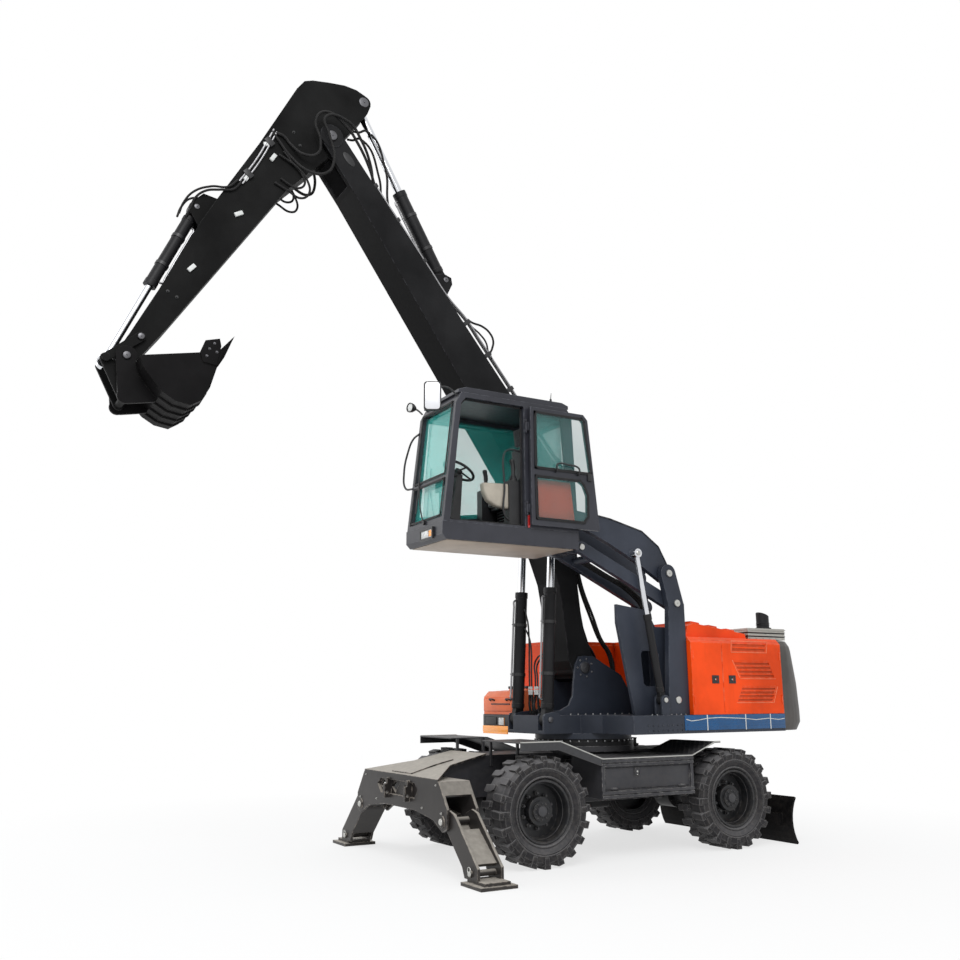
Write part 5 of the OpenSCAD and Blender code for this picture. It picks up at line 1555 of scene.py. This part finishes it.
    def bucket_iron(self) -> None:
        """Wear bars, side cutters and bolts of the bucket."""
        pin = self.site.pins["bucket_curl"]

        def at(x: float, y: float, z: float) -> Vector:
            """A point measured from the bucket pin."""
            return Vector((pin.x + x, y, pin.z + z))

        bars, iron = Shape(), Shape()
        route = [(-0.34, -0.437), (-0.48, -0.517), (-0.64, -0.542), (-0.755, -0.467), (-0.83, -0.322)]
        for y in (-0.36, -0.12, 0.12, 0.36):
            bars.run([at(x, y, z) for x, z in route], 0.016)
        for s in SIDES:
            for x, z in ((-0.775, 0.03), (-0.800, 0.115), (-0.850, 0.185), (-0.880, 0.09)):
                iron.nut(at(x, s * 0.567, z), (0, s, 0), 0.018, 0.014)
        bars.piece("bucket_bars", "bucket", "bucket", Slot.GREY)
        iron.piece("bucket_bolts", "pin", "bucket", Slot.STEEL)


@dataclass
class LiftGroup:
    """Trim of the tower and of the cab's lift arms."""

    site: Site
    middle: float = 0.83
    link_pin: Pair = (-0.636, 2.987)
    arm_pin: Pair = (-0.530, 3.358)
    reach: float = 1.507
    rise: float = 24.8
    arm_top: tuple[Pair, ...] = ((-0.090, 0.060), (0.070, 0.340), (0.330, 0.520), (0.830, 0.640),
                                 (1.180, 0.687))

    def along(self) -> Vector:
        """Direction of the arms at rest."""
        turn = math.radians(self.rise)
        return Vector((math.cos(turn), 0, math.sin(turn)))

    def build(self) -> None:
        """Adds pin heads, flange strips and hoses."""
        p = self.site.p
        disc = [(0.0, 0.016), (0.030, 0.015), (0.042, 0.010), (0.046, 0.0), (0.046, -0.006)]
        caps = Shape()
        for x, z in (self.link_pin, self.arm_pin):
            for s in SIDES:
                at = p(x, self.middle + s * 0.385, z)
                caps.turned(at, (0, s, 0), disc, 24)
                caps.nut(at + Vector((0, s * 0.014, 0)), (0, s, 0), 0.015, 0.012)
        caps.turned(p(-0.60, self.middle + 0.371, 1.80), LEFT, disc, 24)
        caps.turned(p(-0.36, 1.246, 1.80), LEFT, [(r * 0.7, h) for r, h in disc], 24)
        caps.piece("tower_pins", "zinc", "upper", Slot.STEEL)
        ends = Shape()
        for x, z in (self.link_pin, self.arm_pin):
            for s in SIDES:
                at = p(x, self.middle + s * 0.286, z) + self.along() * self.reach
                ends.turned(at, (0, s, 0), [(r * 0.85, h) for r, h in disc], 24)
        ends.piece("cab_lift_pins", "zinc", "cab", Slot.STEEL)
        self.arm_strips()
        self.hoses()

    def arm_strips(self) -> None:
        """Welded flange strips along the top of the lift arms, and the rod's pin."""
        p = self.site.p
        s = Shape()
        x, z = self.arm_pin
        for y in (0.55, 1.03):
            for a, b in zip(self.arm_top, self.arm_top[1:]):
                strip = [p(x + q[0], y + w, z + q[1])
                         for q, w in ((a, -0.012), (b, -0.012), (b, 0.092), (a, 0.092))]
                s.plate(strip, (0, 0, 0.012), 0.003)
        s.piece("arm_flanges", "frame", "lift_arm", Slot.GREY)
        cap = Shape()
        cap.turned(p(-0.056, 1.208, 3.586), LEFT, [(0.0, 0.016), (0.022, 0.015), (0.030, 0.008),
                                                   (0.030, -0.006)], 20)
        cap.piece("lift_rod_pin", "zinc", "lift_rod", Slot.STEEL)

    def hoses(self) -> None:
        """Cab hoses that follow the lift link."""
        p = self.site.p
        d = self.along()
        start = p(self.link_pin[0], 0, self.link_pin[1])
        for k in range(3):
            y = 0.70 + 0.05 * k
            off = Vector((0, y, 0))
            route = [p(-0.62, y, 2.30), p(-0.52, y, 2.66), start + d * 0.16 + Vector((0, y, -0.12)),
                     start + d * 0.42 + off, start + d * 0.9 + off, start + d * 1.25 + off]
            hose = Shape().hose(route, 0.016)
            obj = hose.piece(f"cab_hose_{k}", "hose", None, Slot.BLACK)
            tuple(p(-0.54, 0, 2.60))
            tuple(start + d * 0.42)
            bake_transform(obj)


@dataclass
class Cab:
    """Trim, lamps, mirror, wiper, seat and controls of the cab."""

    site: Site
    back: float = 0.952
    front: float = 2.752
    right: float = 0.438
    left: float = 1.360
    floor: float = 3.740
    top: float = 5.320
    hinge: float = 1.672
    header: float = 0.20
    lean: float = 0.16
    seat_x: float = 1.472

    @property
    def middle(self) -> float:
        """Half way across the cab."""
        return (self.left + self.right) / 2

    def build(self) -> None:
        """Adds everything that rides with the cab."""
        self.gaskets()
        self.outside()
        self.mirror()
        self.wheel()
        self.levers()
        self.seat()

    def gaskets(self) -> None:
        """Rubber frames round the fixed windows and the door's opening."""
        p = self.site.p
        s = Shape()
        back, front, floor, top, hinge = self.back, self.front, self.floor, self.top, self.hinge
        side = ((back + 0.13, floor + 0.48), (hinge - 0.09, floor + 0.48), (hinge - 0.09, top - 0.19),
                (back + 0.20, top - 0.19))
        blind = ((back + 0.13, floor + 0.36), (front - 0.13, floor + 0.16), (front - 0.25, top - 0.19),
                 (back + 0.20, top - 0.19))
        way_in = ((hinge + 0.02, floor + 0.02), (front - 0.085, floor + 0.02), (front - 0.225, top - 0.20),
                  (front - 0.29, top - 0.13), (hinge + 0.02, top - 0.13))
        for y, outline, thick, width, corner in ((self.left - 0.001, side, 0.010, 0.028, 0.06),
                                                 (self.right + 0.001, blind, -0.010, 0.028, 0.08),
                                                 (self.left - 0.047, way_in, -0.015, 0.022, 0.05)):
            s.frame([p(x, y, z) for x, z in outline], (0, thick, 0), width, corner)
        for low, high, corner in ((self.floor + 0.06, self.floor + 0.505, 0.09),
                                  (self.floor + 0.54, self.top - 0.17, 0.05)):
            y0, y1 = self.right + 0.07, self.left - 0.07
            rim = [p(self.slope(z) + 0.002, y, z) for z, y in ((low, y0), (low, y1), (high, y1), (high, y0))]
            s.frame(rim, (0.008, 0, 0.001), 0.024, corner)
        s.piece("cab_gaskets", "gasket", "cab", Slot.BLACK)

    def slope(self, z: float) -> float:
        """Where the windscreen's outside is at a height."""
        return self.front - self.lean * (z - self.floor) / (self.top - self.header - self.floor)

    def outside(self) -> None:
        """Work lamp, head lamp, wiper, rails, roof hatch, antenna, underside and quarter panel."""
        p = self.site.p
        iron, lens, black, amber = Shape(), Shape(), Shape(), Shape()
        lamp = p(2.70, 0.383, 5.288)
        beam = (1, 0.25, 0)
        black.turned(lamp, beam, [(0.0, -0.075), (0.030, -0.070), (0.052, -0.035), (0.060, 0.0),
                                  (0.060, 0.016), (0.053, 0.016)], 24)
        lens.turned(lamp, beam, [(0.0, 0.016), (0.030, 0.014), (0.048, 0.008), (0.054, 0.0)], 24)
        black.hose([lamp - Vector((0.05, 0, 0)), lamp + Vector((-0.09, 0.04, -0.04)), p(2.57, 0.45, 5.20)],
                   0.011)
        x = self.front + 0.010
        black.frame([p(x, 0.845, 3.565), p(x, 1.165, 3.565), p(x, 1.165, 3.700), p(x, 0.845, 3.700)],
                    (0.028, 0, 0), 0.024)
        lens.block(p(x - 0.002, 0.875, 3.590), p(x + 0.024, 1.045, 3.676), 0.008)
        amber.block(p(x - 0.002, 1.060, 3.596), p(x + 0.022, 1.135, 3.670), 0.008)
        lens.piece("cab_lamp_lenses", "lamp", "cab", Slot.LAMP)
        amber.piece("cab_turn_lamp", "amber", "cab", Slot.AMBER)
        front_rail = ((0.002, 0.46, 4.95), (0.03, 0.36, 4.90), (0.04, 0.27, 4.75), (0.05, 0.25, 4.50),
                      (0.03, 0.30, 4.30), (0.002, 0.46, 4.26))
        iron.hose([p(self.slope(z) + out, y, z) for out, y, z in front_rail], 0.012)
        door_rail = ((1.64, 4.655), (1.86, 4.660), (1.905, 4.62), (1.91, 4.2), (1.915, 3.90), (1.88, 3.848),
                     (1.64, 3.845))
        iron.hose([p(x, 1.268, z) for x, z in door_rail], 0.012)
        iron.piece("cab_hand_rails", "black", "cab", Slot.BLACK)
        ym = self.middle
        foot = self.slope(3.80)
        black.rod(p(foot - 0.01, ym, 3.78), p(foot + 0.03, ym, 3.78), 0.022)
        black.hose([p(foot + 0.026, ym, 3.78), p(self.slope(4.0) + 0.030, ym - 0.12, 3.98),
                    p(self.slope(4.25) + 0.022, ym - 0.22, 4.22)], 0.008)
        black.rod(p(self.slope(3.9) + 0.012, ym - 0.24, 3.92), p(self.slope(4.5) + 0.012, ym - 0.26, 4.50),
                  0.009, segments=8)
        x0, x1, y0, y1 = self.back + 0.45, self.front - 0.75, self.right + 0.16, self.left - 0.16
        hatch = [p(x, y, self.top - 0.001) for x, y in ((x0, y0), (x1, y0), (x1, y1), (x0, y1))]
        black.plate(hatch, (0, 0, 0.020), 0.008)
        black.rod(p(1.259, 1.29, self.top - 0.02), p(1.259, 1.29, self.top + 0.04), 0.014)
        black.rod(p(1.259, 1.29, self.top + 0.04), p(1.25, 1.29, self.top + 0.12), 0.006, 0.003, 8)
        black.piece("cab_outside_trim", "black", "cab", Slot.BLACK)
        under, quarter, strap = Shape(), Shape(), Shape()
        under.block(p(self.back + 0.06, self.right + 0.03, 3.533),
                    p(self.front - 0.06, self.left - 0.03, 3.541), 0.002)
        under.piece("cab_underside", "tan", "cab", Slot.GREY)
        quarter.plate([p(x, self.left - 0.001, z)
                       for x, z in ((1.00, 3.83), (1.56, 3.83), (1.56, 4.33), (1.06, 4.33))],
                      (0, 0.013, 0), 0.003)
        quarter.piece("cab_quarter_panel", "quarter", "cab", Slot.ORANGE)
        strap.block(p(1.632, 1.359, 3.745), p(1.660, 1.370, 3.895), 0.003)
        strap.piece("cab_door_strap", "red", "cab", Slot.AMBER)

    def mirror(self) -> None:
        """Mirror ahead of the front left pillar, turned towards the left."""
        p = self.site.p
        arm, face = Shape(), Shape()
        mid = p(2.90, 1.375, 5.137)
        out = Vector((0.449, 0.893, 0.0))
        side = Vector((0.893, -0.449, 0.0))
        up = Vector(UP)

        def card(wide: float, tall: float, depth: float) -> list[Vector]:
            """Outline of an upright card with rounded corners about the mirror's middle.

            Args:
                wide: half its width.
                tall: half its height.
                depth: how far it stands out of the mirror's middle.
            Returns:
                The outline's points.
            """
            bend = 0.035
            points = []
            for k, (a, b) in enumerate(((1, 1), (-1, 1), (-1, -1), (1, -1))):
                for step in range(5):
                    turn = math.pi / 2 * (k + step / 4)
                    across = a * (wide - bend) + bend * math.cos(turn)
                    high = b * (tall - bend) + bend * math.sin(turn)
                    points.append(mid + out * depth + side * across + up * high)
            return points

        arm.hose([p(2.56, 1.33, 5.20), p(2.68, 1.345, 5.27), p(2.80, 1.36, 5.26),
                  mid - out * 0.03 + up * 0.09], 0.012)
        arm.plate(card(0.098, 0.170, -0.030), out * 0.036, 0.008, 2)
        arm.piece("mirror_shell", "black", "cab", Slot.BLACK)
        face.plate(card(0.084, 0.155, 0.002), out * 0.007, 0.003)
        face.piece("mirror_face", "mirror", "cab", Slot.STEEL)

    def wheel(self) -> None:
        """Steering wheel, hub, spokes and display."""
        p = self.site.p
        ym = self.middle
        at, axis = p(2.31, ym, 4.44), Vector((-0.5, 0, 0.87))
        s = Shape()
        s.ring(at, axis, 0.19, 0.016, 40, 10)
        s.turned(at - axis * 0.05, axis, [(0.0, 0.06), (0.045, 0.055), (0.05, 0.02), (0.03, 0.0)], 24)
        side = Vector(LEFT)
        up = axis.cross(side).normalized()
        for d in (side, -side, up):
            s.rod(at + d * 0.03, at + d * 0.185, 0.011, segments=10)
        s.rod(p(2.36, ym, 4.36), at, 0.03, 0.025, 16)
        s.piece("steering_wheel", "grip", "cab", Slot.BLACK)
        box = Shape()
        box.block(p(2.40, self.right + 0.10, 4.22), p(2.44, self.right + 0.32, 4.38), 0.012, 3)
        box.rod(p(2.42, self.right + 0.20, 3.95), p(2.42, self.right + 0.20, 4.24), 0.014)
        for y in (ym - 0.14, ym + 0.14):
            pedal = [p(x, y + w, z) for x, w, z in ((2.40, -0.05, 3.76), (2.52, -0.05, 3.86),
                                                    (2.52, 0.05, 3.86), (2.40, 0.05, 3.76))]
            box.plate(pedal, (0.012, 0, -0.012), 0.004)
        box.piece("cab_display_pedals", "black", "cab", Slot.BLACK)
        tub = Shape()
        outline = ((1.64, 4.275), (2.18, 4.250), (2.165, 4.14), (2.11, 4.04), (2.00, 3.985), (1.86, 3.965),
                   (1.64, 3.995))
        tub.plate([p(x, 1.145, z) for x, z in outline], (0, 0.105, 0), 0.025, 3)
        tub.piece("console_tub", "cream", "cab", Slot.TRIM)

    def levers(self) -> None:
        """Grips, gaiters and arm pads on the two consoles."""
        p = self.site.p
        ym = self.middle
        s, pads = Shape(), Shape()
        gaiter = [(0.055, 0.0), (0.046, 0.02), (0.048, 0.03), (0.036, 0.05), (0.038, 0.06), (0.024, 0.085),
                  (0.0, 0.09)]
        knob = [(0.0, 0.03), (0.022, 0.024), (0.030, 0.005), (0.028, -0.012), (0.0, -0.02)]
        for side in SIDES:
            y = ym + side * 0.32
            s.turned(p(1.762, y, 4.30), UP, gaiter, 20)
            s.hose([p(1.762, y, 4.44), p(1.764, y, 4.49), p(1.775, y, 4.54)], 0.026, 4)
            s.turned(p(1.776, y, 4.545), (0.2, 0, 1), knob, 18)
            pads.block(p(1.40, y - 0.05, 4.302), p(1.70, y + 0.05, 4.352), 0.02, 3)
        s.piece("lever_grips", "grip", "cab", Slot.BLACK)
        pads.piece("arm_pads", "black", "cab", Slot.BLACK)

    def pad(self, low: Point, high: Point, turn: float, about: Vector, crown: float) -> Shape:
        """A crowned pad whose sides pull in between its corners.

        Args:
            low: low corner before it is turned.
            high: high corner.
            turn: angle about the cross axis.
            about: point that it turns about.
            crown: how far the middle of each face stands proud.
        Returns:
            The pad's shape.
        """
        shape = Shape()
        bm = shape.bm
        a, b = Vector(low), Vector(high)
        bmesh.ops.create_cube(bm, size=1.0)
        bmesh.ops.subdivide_edges(bm, edges=bm.edges[:], cuts=7, use_grid_fill=True)
        half = (b - a) / 2
        mid = (a + b) / 2
        for v in bm.verts:
            q = v.co * 2
            side = [1 - abs(c) ** 4 for c in q]
            pull = Vector((1 - 0.03 * (1 - abs(q.y)) * abs(q.x), 1 - 0.03 * (1 - abs(q.x)) * abs(q.y), 1.0))
            seam = 0.012 if abs(abs(q.y) - 0.56) < 0.06 and q.z > 0.9 else 0.0
            lift = crown * side[0] * side[1] * (1 if q.z > 0 else 0.15) * q.z - seam
            v.co = Vector((q.x * half.x * pull.x, q.y * half.y * pull.y, q.z * half.z + lift)) + mid
        bmesh.ops.rotate(bm, verts=bm.verts[:], cent=about, matrix=Matrix.Rotation(turn, 3, "Y"))
        return shape

    def seat(self) -> None:
        """Sprung base, cushion, back rest and head rest in place of the plain seat."""
        p = self.site.p
        ym = self.middle
        x, z = self.seat_x, self.floor
        base = Shape()
        base.block(p(x - 0.15, ym - 0.19, z), p(x + 0.25, ym + 0.19, z + 0.08), 0.012)
        for k in range(6):
            fold = z + 0.08 + 0.035 * k
            base.block(p(x - 0.13 + 0.004 * (k % 2), ym - 0.17, fold), p(x + 0.23, ym + 0.17, fold + 0.028),
                       0.012)
        base.block(p(x - 0.18, ym - 0.21, z + 0.29), p(x + 0.29, ym + 0.21, z + 0.325), 0.010)
        base.rod(p(x + 0.05, ym + 0.20, z + 0.30), p(x + 0.05, ym + 0.25, z + 0.30), 0.02)
        frame = base.piece("seat_base", "black", "cab", Slot.BLACK)
        jobs = (("seat_cushion", (x - 0.19, z + 0.32), (x + 0.315, z + 0.435), 0.245, -3, 0.030),
                ("seat_back", (x - 0.85, z + 0.34), (x - 0.20, z + 0.44), 0.225, 99, 0.028),
                ("seat_head", (x - 1.09, z + 0.345), (x - 0.88, z + 0.43), 0.13, 99, 0.016))
        for name, low, high, half, turn, crown in jobs:
            shape = self.pad(p(low[0], ym - half, low[1]), p(high[0], ym + half, high[1]), math.radians(turn),
                             p(x - 0.16, ym, z + 0.40), crown)
            obj = shape.piece(name, "cloth", "cab", Slot.SEAT, 1.2)
            soft = obj.modifiers.new("soft", "SUBSURF")
            soft.levels = soft.render_levels = 1
        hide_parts("seat")


@dataclass
class Door:
    """Gaskets, handle and rail of the open door."""

    site: Site
    hinge: float = Cab.hinge
    front: float = Cab.front
    floor: float = Cab.floor
    top: float = Cab.top
    face: float = 1.390

    def build(self) -> None:
        """Adds the door's trim."""
        p = self.site.p

        def m(x: float, y: float, z: float) -> Vector:
            """A point of the closed door, turned open about its hinge."""
            return p(2 * self.hinge - x, y, z)

        s, iron = Shape(), Shape()
        upper = [(self.hinge + 0.076, self.floor + 0.696), (self.front - 0.193, self.floor + 0.696),
                 (self.front - 0.280, self.top - 0.226), (self.front - 0.316, self.top - 0.186),
                 (self.hinge + 0.076, self.top - 0.186)]
        lower = [(self.hinge + 0.086, self.floor + 0.096), (self.front - 0.319, self.floor + 0.096),
                 (self.front - 0.252, self.floor + 0.182), (self.front - 0.247, self.floor + 0.447),
                 (self.front - 0.303, self.floor + 0.578), (self.front - 0.369, self.floor + 0.624),
                 (self.hinge + 0.076, self.floor + 0.624)]
        for outline, corner in ((upper, 0.04), (lower, 0.015)):
            s.frame([m(x, self.face + 0.041, z) for x, z in outline], (0, 0.012, 0), 0.030, corner)
        s.piece("door_gaskets", "gasket", "door", Slot.BLACK)
        y = self.face + 0.086
        foot = self.face + 0.040
        iron.hose([m(2.040, foot, 4.425), m(2.036, y - 0.01, 4.44), m(2.034, y, 4.50), m(2.075, y, 4.525),
                   m(2.19, y, 4.518), m(2.315, y, 4.508), m(2.350, y, 4.48), m(2.350, y - 0.01, 4.43),
                   m(2.350, foot, 4.415)], 0.011)
        iron.block(m(self.front - 0.20, self.face + 0.038, 4.36),
                   m(self.front - 0.26, self.face + 0.06, 4.45), 0.006)
        iron.block(m(self.front - 0.19, self.face - 0.02, 4.37),
                   m(self.front - 0.27, self.face + 0.002, 4.44), 0.006)
        iron.piece("door_handles", "black", "door", Slot.BLACK)


@dataclass
class Studio:
    """Floor, light and camera."""

    site: Site
    eye: Point = (7.636211, 10.794138, 1.841291)
    right: Point = (-0.870425, 0.492277, -0.004946)
    up: Point = (0.102107, 0.190351, 0.976392)
    ahead: Point = (-0.481596, -0.849370, 0.215951)
    lens: float = 36.877
    sensor: float = 36.0
    clip: float = 300.0
    floor_half: float = 60.0
    floor_z: float = -0.002
    sky: float = 0.72
    aim: Point = (1.0, 0, 3.0)
    lamp_size: float = 9.0
    lamps: tuple = (("key", (9, 13, 15), 1650.0), ("fill", (12, -8, 9), 450.0))

    def build(self) -> None:
        """Builds the stage."""
        self.camera()
        self.floor()
        self.lights()

    def camera(self) -> None:
        """The photograph's view."""
        data = bpy.data.cameras.new("camera")
        data.lens = self.lens
        data.sensor_width = self.sensor
        data.clip_end = self.clip
        cam = bpy.data.objects.new("camera", data)
        rows = Matrix((self.right, self.up, [-c for c in self.ahead])).transposed()
        cam.matrix_world = Matrix.Translation(self.site.p(*self.eye)) @ rows.to_4x4()
        bpy.context.scene.collection.objects.link(cam)
        bpy.context.scene.camera = cam

    def seen(self, graph: Graph) -> Sock:
        """Tells which rays see the plain white background.

        Args:
            graph: the tree that asks.
        Returns:
            One for rays from the camera, from gloss or through glass.
        """
        path = graph.add("ShaderNodeLightPath")
        kinds = ("Camera", "Glossy", "Transmission")
        eye, gloss, through = (Sock(graph, path.outputs[f"Is {kind} Ray"]) for kind in kinds)
        either = eye.math("MAXIMUM", eye, gloss)
        return either.math("MAXIMUM", either, through)

    def floor(self) -> None:
        """A wide pale floor that keeps a soft shadow and fades to white."""
        bm = bmesh.new()
        bmesh.ops.create_grid(bm, x_segments=2, y_segments=2, size=self.floor_half)
        bmesh.ops.translate(bm, verts=bm.verts[:], vec=(0, 0, self.floor_z))
        mesh = bpy.data.meshes.new("studio_floor")
        bm.to_mesh(mesh)
        bm.free()
        material = bpy.data.materials.new("studio_floor")
        material.use_nodes = True
        graph = Graph(material.node_tree)
        matt = graph.out("ShaderNodeBsdfDiffuse", None, {"Color": (0.88, 0.88, 0.88, 1)})
        glow = graph.out("ShaderNodeEmission", None, {"Color": (1, 1, 1, 1), "Strength": 1.0})
        at = graph.out("ShaderNodeTexCoord", None, None, "Object")
        far = graph.out("ShaderNodeVectorMath", {"operation": "LENGTH"}, {0: at}, "Value")
        share = self.seen(graph) * (far.ramp(3.0, 9.0) * 0.30 + 0.70)
        mix = graph.out("ShaderNodeMixShader", None, {0: share, 1: matt, 2: glow})
        graph.add("ShaderNodeOutputMaterial", None, {"Surface": mix})
        mesh.materials.append(material)
        plane = bpy.data.objects.new("studio_floor", mesh)
        bpy.context.scene.collection.objects.link(plane)

    def lights(self) -> None:
        """Soft sky, a broad key from the front left and a fill."""
        world = bpy.data.worlds.new("studio")
        bpy.context.scene.world = world
        world.use_nodes = True
        graph = Graph(world.node_tree)
        sky = graph.out("ShaderNodeBackground", None, {"Color": (0.97, 0.985, 1.0, 1), "Strength": self.sky})
        white = graph.out("ShaderNodeBackground", None, {"Color": (1, 1, 1, 1), "Strength": 1.0})
        mix = graph.out("ShaderNodeMixShader", None, {0: self.seen(graph), 1: sky, 2: white})
        graph.add("ShaderNodeOutputWorld", None, {"Surface": mix})
        for name, at, power in self.lamps:
            data = bpy.data.lights.new(name, "AREA")
            data.energy = power
            data.size = self.lamp_size
            lamp = bpy.data.objects.new(name, data)
            spot = self.site.p(*at)
            aim = self.site.p(*self.aim) - spot
            lamp.matrix_world = Matrix.Translation(spot) @ aim.to_track_quat("-Z", "Y").to_matrix().to_4x4()
            bpy.context.scene.collection.objects.link(lamp)
        bpy.context.scene.view_settings.view_transform = "Standard"


def main() -> None:
    """Builds the scene."""
    logging.basicConfig(level=logging.INFO, format="%(relativeCreated)d %(message)s")
    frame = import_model()
    site = Site(frame)
    Studio(site).build()
    Solids().dress(frame["nodes"])
    for group in (Wheels(), Chassis(site), Upper(site), BoomGroup(site), LiftGroup(site), Cab(site),
                  Door(site)):
        LOG.info("group %s", type(group).__name__)
        group.build()


if __name__ == "__main__":
    main()
